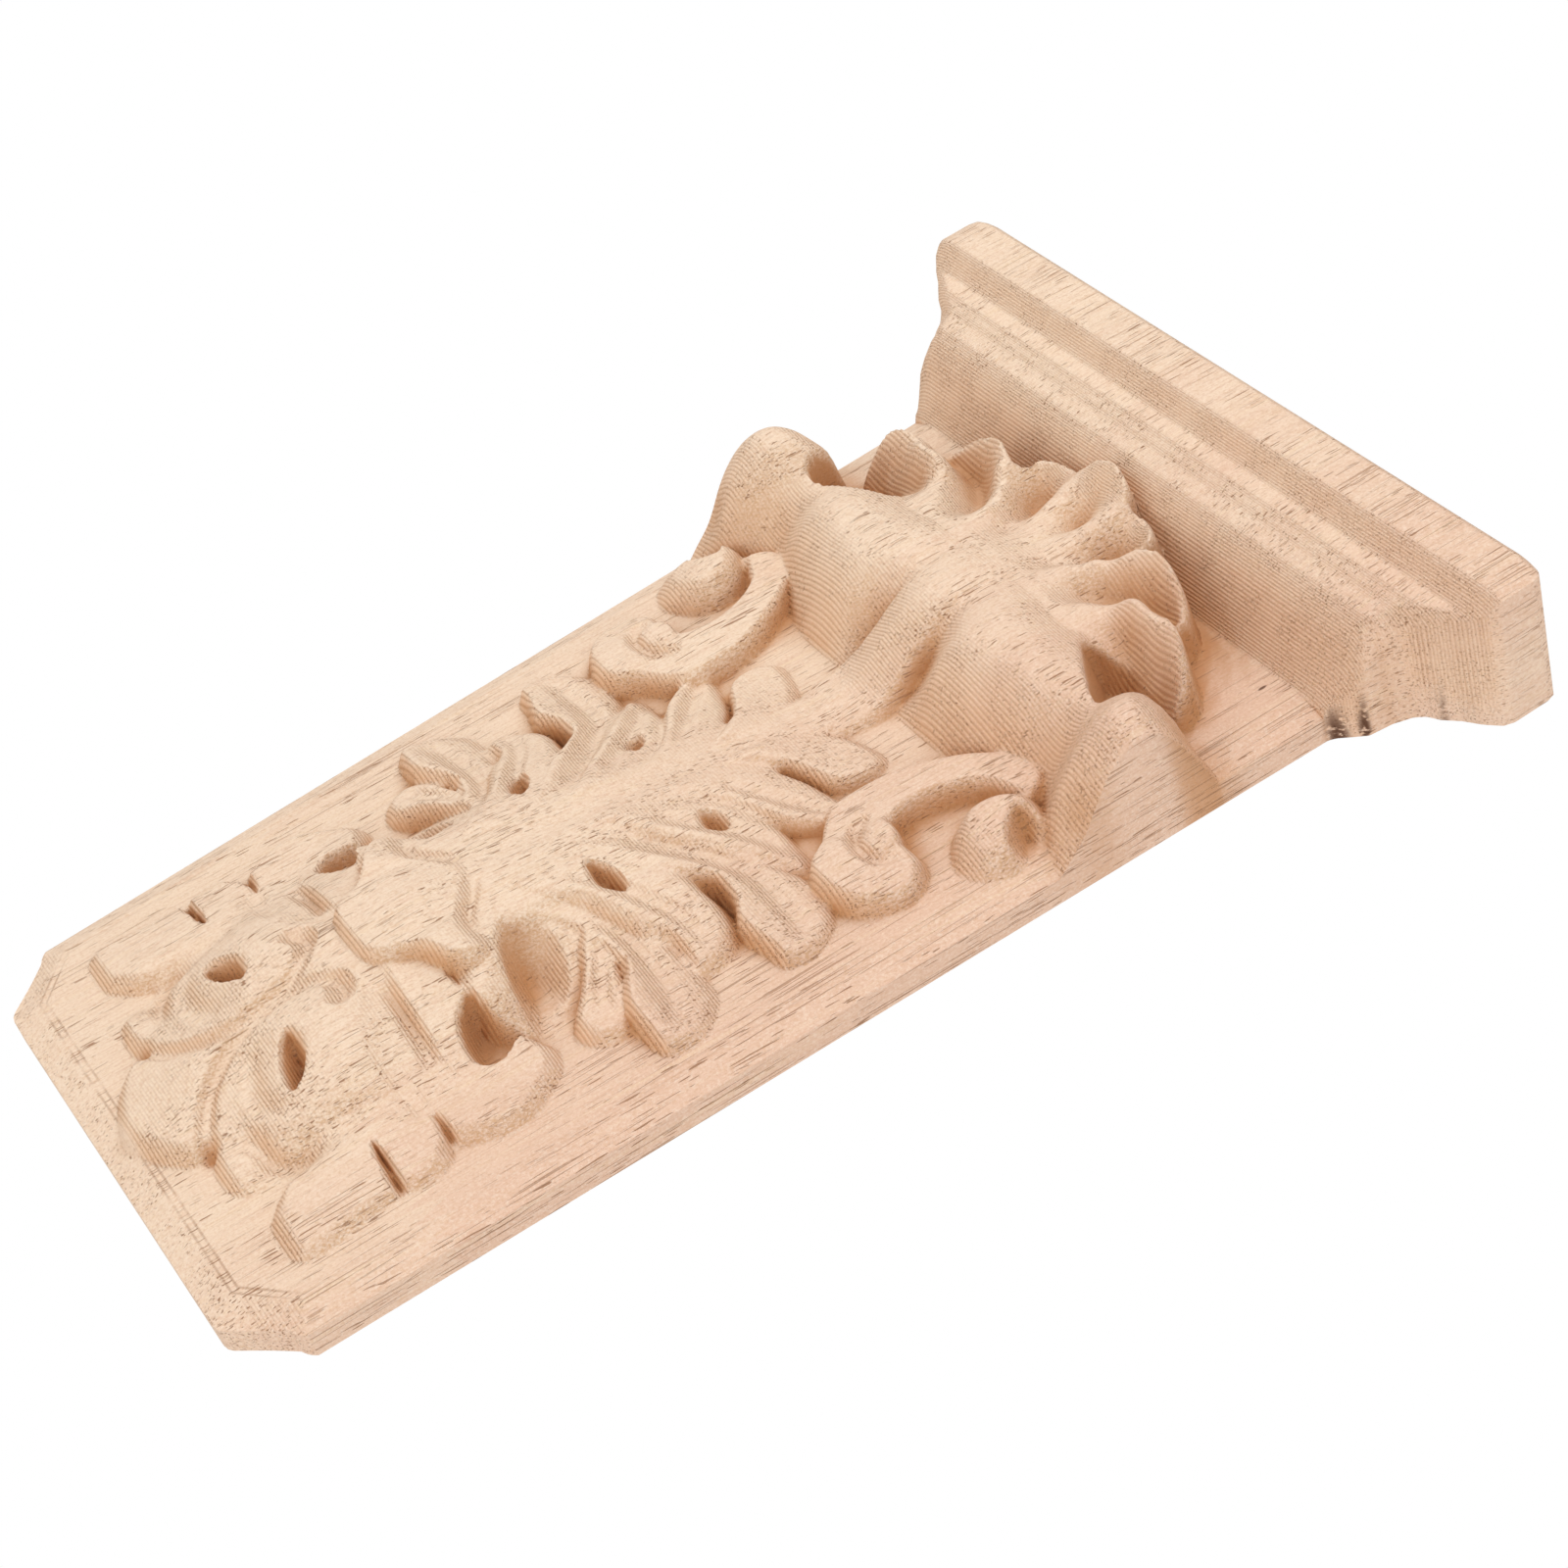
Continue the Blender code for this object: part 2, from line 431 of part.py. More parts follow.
def carve_capital(carving):
    """The rolled capital: a bulge and an ear a side, and the stem between them."""
    carving.leaf([(9, 190), (14, 191.6), (20, 192.4), (30, 192), (40, 194.4), (48, 198),
                  (55, 198.6), (61, 195.4), (67, 192), (73, 189.8), (80, 189), (80.6, 198),
                  (80.8, 210), (80.6, 222), (79, 229.6), (72, 230.4), (62, 228.6), (52, 229),
                  (44, 230), (36, 232), (26, 236), (12, 238), (7, 228), (6, 210)],
                 [(11, 194, 9.4), (11, 199, 11.4), (11.4, 204, 15.6), (11, 209, 21),
                  (11, 214, 24.4), (11, 226, 25.2), (11, 236, 22.6),
                  (19, 195, 12), (19, 199, 18), (19, 203, 22.4), (19, 207, 25), (19, 213, 27),
                  (19, 220, 27.2), (19, 228, 25), (19, 235, 21.6),
                  (31, 195, 11), (31, 199, 17.4), (31, 203, 22.2), (31, 207, 25),
                  (31, 213, 27), (31, 220, 26.8), (31, 229, 23.2),
                  (45, 198, 10), (45, 202, 16.6), (45, 206, 22), (45, 210, 24.8),
                  (45, 216, 26.4), (45, 223, 25), (45, 229, 22.4),
                  (56, 201, 11), (56.4, 206, 15.6), (57, 210, 19.8), (57, 215, 23.4),
                  (57, 221, 24.4), (57, 228, 21.6),
                  (62, 197, 10), (62.6, 201, 15.4), (63, 206, 21), (63, 212, 26),
                  (63, 219, 28), (63, 225, 25.6), (63, 229, 20),
                  (69, 193.6, 10), (69, 198, 17.6), (69, 203, 24.4), (69.4, 209, 29),
                  (70.6, 217.4, 31.8), (70, 223, 28.8), (70, 228, 20), (75, 193, 9.4),
                  (74.6, 198.4, 14.4), (74.4, 202, 21.2), (74.6, 208, 27.6), (75, 215, 30.8),
                  (75, 220, 29.4), (75, 224, 24), (75, 228, 14.6)],
                 wall=2.6, swell=1.6)
    carving.leaf(both_sides([(0, 172), (8, 176), (10.4, 183), (10.8, 190), (10, 198),
                             (9.4, 206), (9.4, 216), (10.4, 228), (11.6, 240), (0, 242)]),
                 [(0, 180, 12.2), (6, 184, 12), (0, 189, 13.8), (7, 190, 12.4), (0, 195, 17),
                  (7, 196, 14.8), (0, 201, 21), (7, 202, 18.6), (0, 207, 24.4), (7, 208, 22.6),
                  (0, 214, 26.8), (7, 215, 25.4), (0, 222, 26.8), (7, 223, 25.8), (0, 231, 24.6),
                  (7, 232, 24), (0, 240, 21.6), (8, 240, 21.2)], wall=2.8)


def carve_fan(carving):
    """A fan of spoon-shaped lobes, side by side, from the capital to the cornice."""
    middle = [(0, 232, 24.6), (0, 238, 22.6), (0, 245, 21), (0, 250, 19), (0, 254, 18),
              (0, 257.6, 21), (0, 262.4, 27.6), (5, 262, 27), (4.6, 257, 23.6), (6.8, 245, 22),
              (7.6, 251, 23.2), (9, 256, 24), (9.6, 260.6, 24.4), (5, 238, 22.4)]
    short = [(13, 245.6, 18.4), (14.4, 250, 16), (15.4, 254.6, 16.2), (13.7, 262, 22.4),
             (17.6, 259.8, 22.4), (20.8, 256.4, 22), (22, 251, 23.4), (18.6, 245.4, 24.4),
             (15.6, 239.6, 24.4), (13.6, 235, 24), (9.4, 240, 20.8)]
    inner = [(24.6, 249, 25.4), (29.4, 252.2, 25.6), (33.8, 253, 25), (38, 252, 23),
             (42, 249.4, 19.6), (43.6, 246, 17.6), (23.8, 244, 18.4), (28, 246.4, 17),
             (33, 248, 16.6), (36, 246.4, 16.8), (21.6, 239, 19), (39.4, 247, 17),
             (33, 240.6, 22.6), (29, 235.8, 23.8)]
    outer = [(35.8, 242.5, 24.4), (38.5, 242.8, 25.8), (41, 241.6, 27.4), (45.2, 241, 27.2),
             (52, 240.2, 24.8), (56, 238.2, 22.4), (59.1, 236, 18), (38, 236, 20.4),
             (41.6, 237, 19), (46, 236.6, 18.4), (51, 236, 16.4), (56, 233.8, 13), (34, 232, 23),
             (40, 231, 20), (20, 230, 24.6), (10, 231, 24.4), (28, 230, 24.2), (50, 232, 13.4)]
    carving.leaf(both_sides([(0, 228), (14, 229), (26, 228), (34, 226.6), (40, 227), (46, 230),
                             (52, 231), (58, 229.8), (62.4, 231.4), (62.8, 235.6), (60.4, 240),
                             (55, 243.4), (49.4, 245.2), (47.2, 247), (45.8, 250.4),
                             (41.4, 254), (36, 255.8), (31, 256.4), (27, 255.4),
                             (24.2, 255.2), (22.8, 259.4), (18.6, 262.6), (13.6, 264),
                             (10, 263.2), (6.6, 265.8), (0, 267)]),
                 middle + short + inner + outer, wall=2.2)
    # The deep pocket behind the bulge, open towards the side of the board.
    carving.hollow([(37.6, 228), (41.4, 231.6), (46.6, 233.6), (51, 233), (56, 231.6),
                    (61, 230.6), (63, 226.4), (62.4, 221.6), (59.4, 218.2), (54, 218.6),
                    (48, 221.4), (42, 224.8)], 9.6, wall=3.2)


def front_height(x, y):
    ground = board_front(x, y)
    carving = Carving(x, y, ground)
    for carve in (carve_palmette, carve_collar, carve_acanthus, carve_scrolls,
                  carve_capital, carve_fan):
        carve(carving)
    return np.maximum(carving.z.reshape(x.shape), cornice_block(x, y))


def row_heights():
    """Rows up the board, closer together at the foot notches and the cornice."""
    foot = np.array([0.0, 0.15, 0.35, 0.7, 1.2, 2.0, 3.2, 4.4])
    board = np.arange(5.4, CORNICE_START - 0.6, ROW_STEP)
    head = np.linspace(CORNICE_START - 0.3, LENGTH, 52)
    return np.concatenate([foot, board, head])


def carved_sheet():
    """The carved front as one open sheet, thinned out where it is nearly flat."""
    rows = row_heights()
    bpy.ops.mesh.primitive_grid_add(x_subdivisions=COLUMNS, y_subdivisions=len(rows) - 1,
                                    size=2)
    sheet = bpy.context.object
    points = np.empty(len(sheet.data.vertices) * 3)
    sheet.data.vertices.foreach_get("co", points)
    points = points.reshape(-1, 3)
    row = (points[:, 1] + 1) / 2 * (len(rows) - 1)
    y = np.interp(row, np.arange(len(rows)), rows)
    x = points[:, 0] * half_width(y)
    z = front_height(x, y)
    placed = np.stack([x, -z, y - ORIGIN_HEIGHT], axis=1) * MM
    sheet.data.vertices.foreach_set("co", placed.ravel())
    thin = sheet.modifiers.new("Thin out", "DECIMATE")
    thin.ratio = KEPT_SHARE
    return sheet


def close_back(mesh):
    """Walls straight back from the sheet's edge to the wall plane, and the back."""
    form = bmesh.new()
    form.from_mesh(mesh)
    edge = [e for e in form.edges if e.is_boundary]
    grown = bmesh.ops.extrude_edge_only(form, edges=edge)["geom"]
    back = [v for v in grown if isinstance(v, bmesh.types.BMVert)]
    for corner in back:
        corner.co.y = 0.0
    rim = [e for e in form.edges if e.is_boundary]
    bmesh.ops.contextual_create(form, geom=rim)
    bmesh.ops.triangulate(form, faces=[f for f in form.faces if len(f.verts) > 3])
    bmesh.ops.recalc_face_normals(form, faces=form.faces)
    form.to_mesh(mesh)
    form.free()


def wood():
    material = bpy.data.materials.new("unfinished_rubberwood")
    material.use_nodes = True
    shader = material.node_tree.nodes["Principled BSDF"]
    shader.inputs["Base Color"].default_value = (0.80, 0.60, 0.45, 1)
    shader.inputs["Roughness"].default_value = 0.75
    shader.inputs["Metallic"].default_value = 0.0
    return material


for thing in list(bpy.data.objects):
    bpy.data.objects.remove(thing)

group = bpy.data.collections.new("carved_wood_applique")
bpy.context.scene.collection.children.link(group)

sheet = carved_sheet()
depsgraph = bpy.context.evaluated_depsgraph_get()
mesh = bpy.data.meshes.new_from_object(sheet.evaluated_get(depsgraph))
bpy.data.objects.remove(sheet)
close_back(mesh)
mesh.name = "carved_applique"
mesh.materials.append(wood())
applique = bpy.data.objects.new("carved_applique", mesh)
group.objects.link(applique)
mesh.shade_smooth()
mesh.set_sharp_from_angle(angle=0.6)
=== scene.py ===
import math

import bmesh
import bpy
import numpy as np
from mathutils import Matrix, Vector


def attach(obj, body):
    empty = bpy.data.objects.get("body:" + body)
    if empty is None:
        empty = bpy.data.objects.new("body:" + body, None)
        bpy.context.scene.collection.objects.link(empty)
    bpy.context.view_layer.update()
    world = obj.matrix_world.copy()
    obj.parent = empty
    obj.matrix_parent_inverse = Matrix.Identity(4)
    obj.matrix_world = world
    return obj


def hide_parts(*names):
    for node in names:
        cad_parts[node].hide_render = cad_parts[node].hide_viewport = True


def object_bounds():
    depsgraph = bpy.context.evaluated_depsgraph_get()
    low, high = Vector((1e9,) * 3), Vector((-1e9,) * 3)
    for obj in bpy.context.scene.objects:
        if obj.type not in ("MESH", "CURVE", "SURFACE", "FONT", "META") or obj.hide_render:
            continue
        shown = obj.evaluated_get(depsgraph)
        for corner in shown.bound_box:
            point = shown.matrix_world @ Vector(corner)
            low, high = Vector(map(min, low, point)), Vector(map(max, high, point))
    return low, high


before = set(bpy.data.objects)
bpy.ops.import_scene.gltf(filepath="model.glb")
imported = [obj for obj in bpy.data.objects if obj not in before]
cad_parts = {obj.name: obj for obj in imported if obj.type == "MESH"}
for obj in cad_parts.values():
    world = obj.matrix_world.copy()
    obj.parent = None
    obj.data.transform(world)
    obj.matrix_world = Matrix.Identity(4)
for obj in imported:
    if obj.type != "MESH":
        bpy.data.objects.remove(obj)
cad_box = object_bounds()

# The board.  It is the back of the one block of rubberwood that the whole applique is
# cut from.  It widens from its foot up to the cornice, its foot corners are cut away as
# an ogee, and a bevelled border runs round the flat field.  Sizes are in millimetres.
FOOT_HALF_WIDTH = 72.0
HEAD_HALF_WIDTH = 79.2
CORNICE_START = 257.6
EDGE_THICKNESS = 6.2
FIELD_THICKNESS = 8.8
BEVEL_RUN = 6.4
BEVEL_LINE = 0.3
BEVEL_LINE_WIDTH = 0.8
NOTCH_WIDTH = 16.0
NOTCH_HEIGHT = 14.0
CORNER_RUN = (NOTCH_WIDTH ** 2 + NOTCH_HEIGHT ** 2) ** 0.5


def board_half_width(y):
    return FOOT_HALF_WIDTH + (HEAD_HALF_WIDTH - FOOT_HALF_WIDTH) * y / CORNICE_START


def notch_half_width(y):
    """The foot corners are cut as an ogee, round at the foot and hollow above."""
    corner = board_half_width(NOTCH_HEIGHT) - NOTCH_WIDTH
    heights = [0.0, 0.35, 1.2, 3.2, 6.3, 9.3, 11.6, 12.7, NOTCH_HEIGHT]
    widths = [0.0, 1.6, 2.8, 4.6, 7.4, 10.3, 12.6, 14.9, NOTCH_WIDTH]
    return corner + np.interp(y, heights, widths)


def board_front(x, y):
    """The plain board: a flat field, a fine line round it and a bevelled edge."""
    side = board_half_width(y) - np.abs(x)
    start = board_half_width(NOTCH_HEIGHT) - NOTCH_WIDTH
    corner = ((start - np.abs(x)) * NOTCH_HEIGHT + y * NOTCH_WIDTH) / CORNER_RUN
    inside = np.minimum(np.minimum(side, y), corner)
    slope = EDGE_THICKNESS + (FIELD_THICKNESS - EDGE_THICKNESS) * inside / BEVEL_RUN
    past = inside - BEVEL_RUN - BEVEL_LINE_WIDTH
    line = BEVEL_LINE * np.exp(-(past / BEVEL_LINE_WIDTH) ** 2)
    return np.clip(slope, EDGE_THICKNESS, FIELD_THICKNESS) - line


# The cornice.  The head of the same block, left thick and cut side to side with a flare,
# a quarter round, a hollow and a square slab.  Its mouldings turn round both ends.
LENGTH = 300.0
CORNICE_HALF_WIDTH = 103.5
CORNICE_DEPTH = 33.9
CORNICE_END_ROUND = 6.0


def cornice_half_width(y):
    """Plan of the cornice's ends: flare, quarter round, hollow and slab."""
    heights = [CORNICE_START, 259.2, 261.4, 264.4, 270.0, 274.4, 276.4, 277.6, 280.4, 282.6,
               285.2, 287.6, 296.5, 298.8, LENGTH]
    widths = [HEAD_HALF_WIDTH, 80.0, 81.9, 84.4, 85.2, 86.9, 88.8, 91.6, 95.2, 99.2,
              102.6, CORNICE_HALF_WIDTH, CORNICE_HALF_WIDTH, 102.8, 100.6]
    return np.interp(y, heights, widths)


def half_width(y):
    board = np.where(y < NOTCH_HEIGHT, notch_half_width(y), board_half_width(y))
    return np.where(y < CORNICE_START, board, cornice_half_width(y))


def cornice_front(y):
    """Profile of the cornice from the board up to the slab's flat face."""
    heights = [CORNICE_START, 259.0, 261.0, 263.4, 264.6, 266.4, 268.6, 271.0, 275.4, 276.4,
               278.4, 279.2, 283.0, 283.8, 285.2, 286.6, 287.8, 288.6, 299.0, LENGTH]
    depths = [FIELD_THICKNESS, 10.0, 12.6, 16.4, 18.6, 22.0, 24.8, 26.4, 27.4, 27.9,
              28.5, 29.0, 29.3, 29.8, 31.0, 32.6, 33.5, CORNICE_DEPTH, CORNICE_DEPTH, 33.1]
    return np.interp(y, heights, depths)


def cornice_block(x, y):
    """The cornice over the board, rounded down towards its two ends."""
    front = cornice_front(y)
    inside = np.clip(cornice_half_width(y) - np.abs(x), 0, CORNICE_END_ROUND)
    fall = (1 - inside / CORNICE_END_ROUND) ** 2
    drop = np.interp(y, [258, 264, 270, 276, 282, 289], [1.0, 3.5, 6.5, 3.0, 1.0, 1.4])
    return np.where(y >= CORNICE_START, front - drop * fall, 0)


# The carving.  Leaves, scrolls and a rolled capital stand up from the board's field.  A
# round cutter rises and falls as it crosses the block, so they have no undercuts, and
# the two halves mirror each other.  The ease is how far a leaf's surface may pass its
# given heights by, to stay smooth.
SURFACE_EASE = 0.002


def curve_through(points, closed=False, steps=6):
    """A smooth curve through the points, as Catmull-Rom spans."""
    knots = np.asarray(points, float)
    if closed:
        before, after, ahead = (np.roll(knots, k, axis=0) for k in (1, -1, -2))
        starts = knots
    else:
        padded = np.vstack([2 * knots[0] - knots[1], knots, 2 * knots[-1] - knots[-2]])
        before, starts, after, ahead = (padded[k:len(padded) - 3 + k] for k in range(4))
    spans = []
    for t in np.arange(steps) / steps:
        spans.append(0.5 * (2 * starts + (after - before) * t
                            + (2 * before - 5 * starts + 4 * after - ahead) * t ** 2
                            + (3 * starts - before - 3 * after + ahead) * t ** 3))
    line = np.stack(spans, axis=1).reshape(-1, knots.shape[1])
    return line if closed else np.vstack([line, knots[-1]])


def both_sides(points):
    """The outline of a leaf on the centre line, from its right half."""
    left = [(-x, y) for x, y in reversed(points) if x > 0]
    return list(points) + left


class Carving:
    """The carved front, as a height over each point of the right half."""

    def __init__(self, x, y, ground):
        self.x = np.abs(x).ravel()
        self.y = y.ravel()
        self.z = ground.ravel().copy()

    def near(self, line, margin):
        low, high = line[:, :2].min(axis=0) - margin, line[:, :2].max(axis=0) + margin
        return np.nonzero((self.x > low[0]) & (self.x < high[0])
                          & (self.y > low[1]) & (self.y < high[1]))[0]

    def nearest(self, line, at, stretch=1.0):
        """Distance to the line, how far along it that is, and on which side."""
        here = np.stack([self.x[at], self.y[at] * stretch], axis=1)
        knots = line[:, :2] * [1, stretch]
        best = np.full(len(at), 1e9)
        along = np.zeros(len(at))
        side = np.ones(len(at))
        for number, (start, end) in enumerate(zip(knots[:-1], knots[1:])):
            step = end - start
            size = max(step @ step, 1e-9)
            t = np.clip((here - start) @ step / size, 0, 1)
            off = here - start - t[:, None] * step
            gap = np.hypot(off[:, 0], off[:, 1])
            closer = gap < best
            best[closer] = gap[closer]
            along[closer] = number + t[closer]
            turn = step[0] * off[:, 1] - step[1] * off[:, 0]
            side[closer] = np.sign(turn[closer])
        return best, along, side

    def inside(self, ring, at):
        x, y = self.x[at], self.y[at]
        found = np.zeros(len(at), bool)
        for start, end in zip(ring, np.roll(ring, -1, axis=0)):
            crosses = (start[1] > y) != (end[1] > y)
            rise = end[1] - start[1]
            if rise:
                found ^= crosses & (x < start[0] + (y - start[1]) / rise * (end[0] - start[0]))
        return found

    def spot_height(self, spots, at):
        """A smooth surface bent through spots, each (across, up, height)."""
        known = np.asarray(spots, float)
        place, height = known[:, :2] / 50.0, known[:, 2]
        flat = np.column_stack([np.ones(len(place)), place])

        def bend(points):
            away = ((points[:, None] - place[None]) ** 2).sum(axis=2)
            return away * np.log(away + 1e-12)

        size = len(place)
        matrix = np.zeros((size + 3, size + 3))
        matrix[:size, :size] = bend(place) + np.eye(size) * SURFACE_EASE
        matrix[:size, size:] = flat
        matrix[size:, :size] = flat.T
        target = np.concatenate([height, np.zeros(3)])
        weights = np.linalg.lstsq(matrix, target, rcond=None)[0]
        here = np.column_stack([self.x[at], self.y[at]]) / 50.0
        return bend(here) @ weights[:size] + weights[size] + here @ weights[size + 1:]

    def leaf(self, outline, spots, wall=3.0, stretch=1.0, swell=2.0):
        """A raised leaf: rounded walls round its outline, up to the spot heights."""
        ring = curve_through(outline, closed=True)
        at = self.near(ring, 0.1)
        at = at[self.inside(ring, at)]
        gap = self.nearest(np.vstack([ring, ring[:1]]), at, stretch)[0]
        rise = 1 - (1 - np.clip(gap / wall, 0, 1)) ** swell
        top = self.spot_height(spots, at)
        under = self.z[at]
        self.z[at] = np.maximum(under, under + (top - under) * rise)

    def hollow(self, outline, floor, wall=3.0, stretch=1.0):
        """A pocket cut down to its floor, with walls that run out at its outline."""
        ring = curve_through(outline, closed=True)
        at = self.near(ring, 0.1)
        at = at[self.inside(ring, at)]
        gap = self.nearest(np.vstack([ring, ring[:1]]), at, stretch)[0]
        sink = np.clip(gap / wall, 0, 1) ** 0.8
        over = np.maximum(self.z[at] - floor, 0)
        self.z[at] -= over * sink

    def dish(self, outline, spots, wall=3.0):
        """A hollow cut down to a smooth surface through its own spot heights."""
        ring = curve_through(outline, closed=True)
        at = self.near(ring, 0.1)
        at = at[self.inside(ring, at)]
        gap = self.nearest(np.vstack([ring, ring[:1]]), at)[0]
        over = np.maximum(self.z[at] - self.spot_height(spots, at), 0)
        self.z[at] -= over * np.clip(gap / wall, 0, 1) ** 0.8

    def ridge(self, path, left, right, power=2.0):
        """A rib: its path carries crest heights, and each side has its own width."""
        line = curve_through(path)
        at = self.near(line, max(left, right))
        gap, along, side = self.nearest(line, at)
        crest = np.interp(along, np.arange(len(line)), line[:, 2])
        share = np.clip(gap / np.where(side > 0, left, right), 0, 1)
        under = self.z[at]
        self.z[at] = np.maximum(under, crest - (crest - under) * share ** power)

    def groove(self, path, width, depth):
        """A gouge cut, deepest in its middle and running out at both ends."""
        line = curve_through(path)
        at = self.near(line, width)
        gap, along, _ = self.nearest(line, at)
        length = len(line) - 1
        fade = np.sin(np.pi * np.clip(along / length, 0, 1)) ** 0.5
        cut = np.clip(1 - (gap / width) ** 2, 0, 1) ** 1.5
        self.z[at] -= depth * cut * fade


def carve_palmette(carving):
    """The palmette at the foot: tongues, cheeks with their eyes, and side leaves."""
    carving.leaf([(-6, 4.8), (0, 4.6), (6.5, 6), (12, 8.8), (15.5, 11.2), (18.6, 15), (18.4, 18),
                  (22, 16.8), (27.8, 16.6), (32.4, 18), (34.2, 21.5), (34.8, 25), (36.6, 28),
                  (37.6, 26.4), (39.4, 23.8), (42, 21.6), (45, 19.6), (52, 19.2), (56.8, 19.8),
                  (59, 23), (58.6, 30), (57.6, 37), (57.6, 44), (58.4, 50), (57, 55.4),
                  (54.4, 57.4), (54.6, 60), (56.6, 64), (58.4, 69.4), (57.8, 74.6),
                  (55, 79.5), (51, 84.6), (46, 86.6), (43, 86), (38, 84), (30, 82), (20, 80),
                  (0, 78), (-8, 78), (-16, 60), (-16, 20)],
                 [(0, 10, 13.2), (5, 10, 13), (8, 13.5, 13.8), (0, 18, 15.6), (11, 17, 14.2),
                  (0, 28, 18.2), (4, 24, 17), (8, 32, 18.2), (8, 42, 22), (10, 50, 23.8),
                  (16, 34, 18), (22, 31, 16), (13, 38, 20), (17, 47, 22.8), (24, 47, 20.8),
                  (26, 40, 18.4), (28, 34, 16), (31.5, 37.6, 14.6), (27, 29.6, 14.4),
                  (22, 28, 14.6), (30, 44, 17.4), (34, 44, 15), (36, 38, 13.4),
                  (35, 34.7, 11.6), (35.6, 31, 10.6), (33.5, 25.6, 9.4), (28.2, 25, 11.2),
                  (22.3, 19.4, 12.4), (27, 20.7, 12), (30.7, 22, 11.2), (18, 22, 13.6),
                  (24, 24, 12.4), (14, 26, 15.4), (38.8, 27.4, 12.6), (44, 24, 12.4),
                  (52, 23.3, 12), (52, 32, 12.2), (46, 32, 12.8), (53.5, 40, 12),
                  (46, 40, 13.2), (40, 34, 13.2), (42, 46, 13.8), (50, 47, 12.6),
                  (54.5, 52, 12), (44, 54, 13.4), (38, 52, 15), (45, 60, 12.8),
                  (50, 62, 12.8), (52.4, 66, 12.8), (50.5, 72, 12.6), (53, 77, 12.2),
                  (50, 83, 12), (44, 67, 12.4), (0, 55, 23.4), (12, 54, 24.4), (12, 60, 24),
                  (22, 56, 22), (30, 54, 18.6), (36, 60, 15), (26, 62, 19), (16, 64, 21.5),
                  (0, 63, 24.6), (0, 50, 22.2), (0, 42, 21), (0, 36, 19.8), (38, 64, 14),
                  (30, 66, 17.4), (20, 68, 21.2), (12, 70, 23.6), (0, 72, 25), (24, 73, 20.4),
                  (30, 71, 18), (35, 69, 15.6), (40, 69, 13.2), (34, 78, 16.6),
                  (26, 78, 20)], wall=3.6, swell=1.7)
    # The valleys between the tongues, sweeping up round the cheeks.
    carving.groove([(20.5, 17), (15.6, 19.4), (11, 22), (7.6, 25), (4.6, 29), (2.2, 34),
                    (1, 41), (1.2, 48), (3.6, 54), (8, 59)], 2.8, 2.3)
    carving.groove([(36.6, 27), (36, 32), (35.4, 37), (35.4, 44), (38, 52), (43, 57.6)],
                   4.2, 1.1)
    carving.groove([(22, 25), (26, 26.4), (31, 27.6), (34.4, 31), (35.4, 35)], 2.6, 1.5)
    carving.groove([(9, 36), (12, 33.4), (18, 31.4), (24, 33), (28, 38)], 3.0, 0.7)
    carving.groove([(24, 58), (30, 56.4), (38, 56.8), (47, 58)], 3.0, 0.8)
    # The eyes of the cheeks, cut in steeply on the outer side.
    carving.hollow([(10.6, 43.2), (12.4, 45), (17.8, 45), (21.8, 42.4), (24, 38.8),
                    (22.4, 37.4), (18.6, 38), (14.4, 39.8)], 14.0, wall=2.8)
    # Saw-thin slits between the side leaves, and the dent under the acanthus's tip.
    carving.hollow([(43, 45.4), (46, 44.2), (52, 43.4), (60, 42.6), (60, 45.6), (52, 46),
                    (46, 46)], FIELD_THICKNESS, wall=1.2)
    carving.hollow([(44, 58.6), (48, 57.6), (54, 56.4), (57.6, 57.4), (54, 59.6), (49, 59.8)],
                   9.4, wall=1.5)
    carving.hollow([(4.4, 53.6), (8.4, 55), (12.4, 53.4), (15, 56.4), (13, 60.6), (8.4, 61.6),
                    (4.6, 58.6)], 21.0, wall=4)


def carve_collar(carving):
    """The arms of the collar round the acanthus, and the groove on their foot side."""
    carving.ridge([(14, 67.6, 24), (20, 68.6, 22.2), (26, 69.2, 20.2), (31.6, 69.2, 17.6),
                   (37, 69.4, 15), (41.6, 71, 12.8)], 4.6, 3.4)
    carving.groove([(11.6, 67), (17, 65.6), (24, 65), (30.6, 64.6), (36, 63.6)], 2.2, 1.7)


def carve_scoop(carving):
    """The scoop down to the board where an arm of the collar ends."""
    carving.hollow([(27.2, 78.6), (28.4, 75), (32, 72.4), (37, 71.2), (41, 72.2), (42.8, 76),
                    (41, 80.4), (38.6, 84.2), (36.4, 83), (33, 80.2)], FIELD_THICKNESS,
                   wall=2.2)


def carve_hollow(carving):
    """The deep hollow between the turned tip and the second side lobe."""
    carving.dish([(17, 93), (20, 90), (24, 88), (29, 86.4), (34, 85.6), (38, 85.2), (41, 87),
                  (43, 90.6), (41.6, 94.6), (38, 98), (34.6, 101.6), (31, 104.4), (26, 105),
                  (21.4, 102), (18, 98)],
                 [(37, 87, 9), (40, 90, 9), (32, 88.6, 10), (27, 91.4, 10.4), (33.6, 94.6, 10.4),
                  (28.4, 96, 12), (22.4, 93, 15.6), (23, 97.4, 16.4), (27, 100.6, 16.6),
                  (30.6, 102.6, 17), (19.4, 95.6, 19.6), (37, 96.6, 12), (33, 99, 13.6)],
                 wall=3.2)


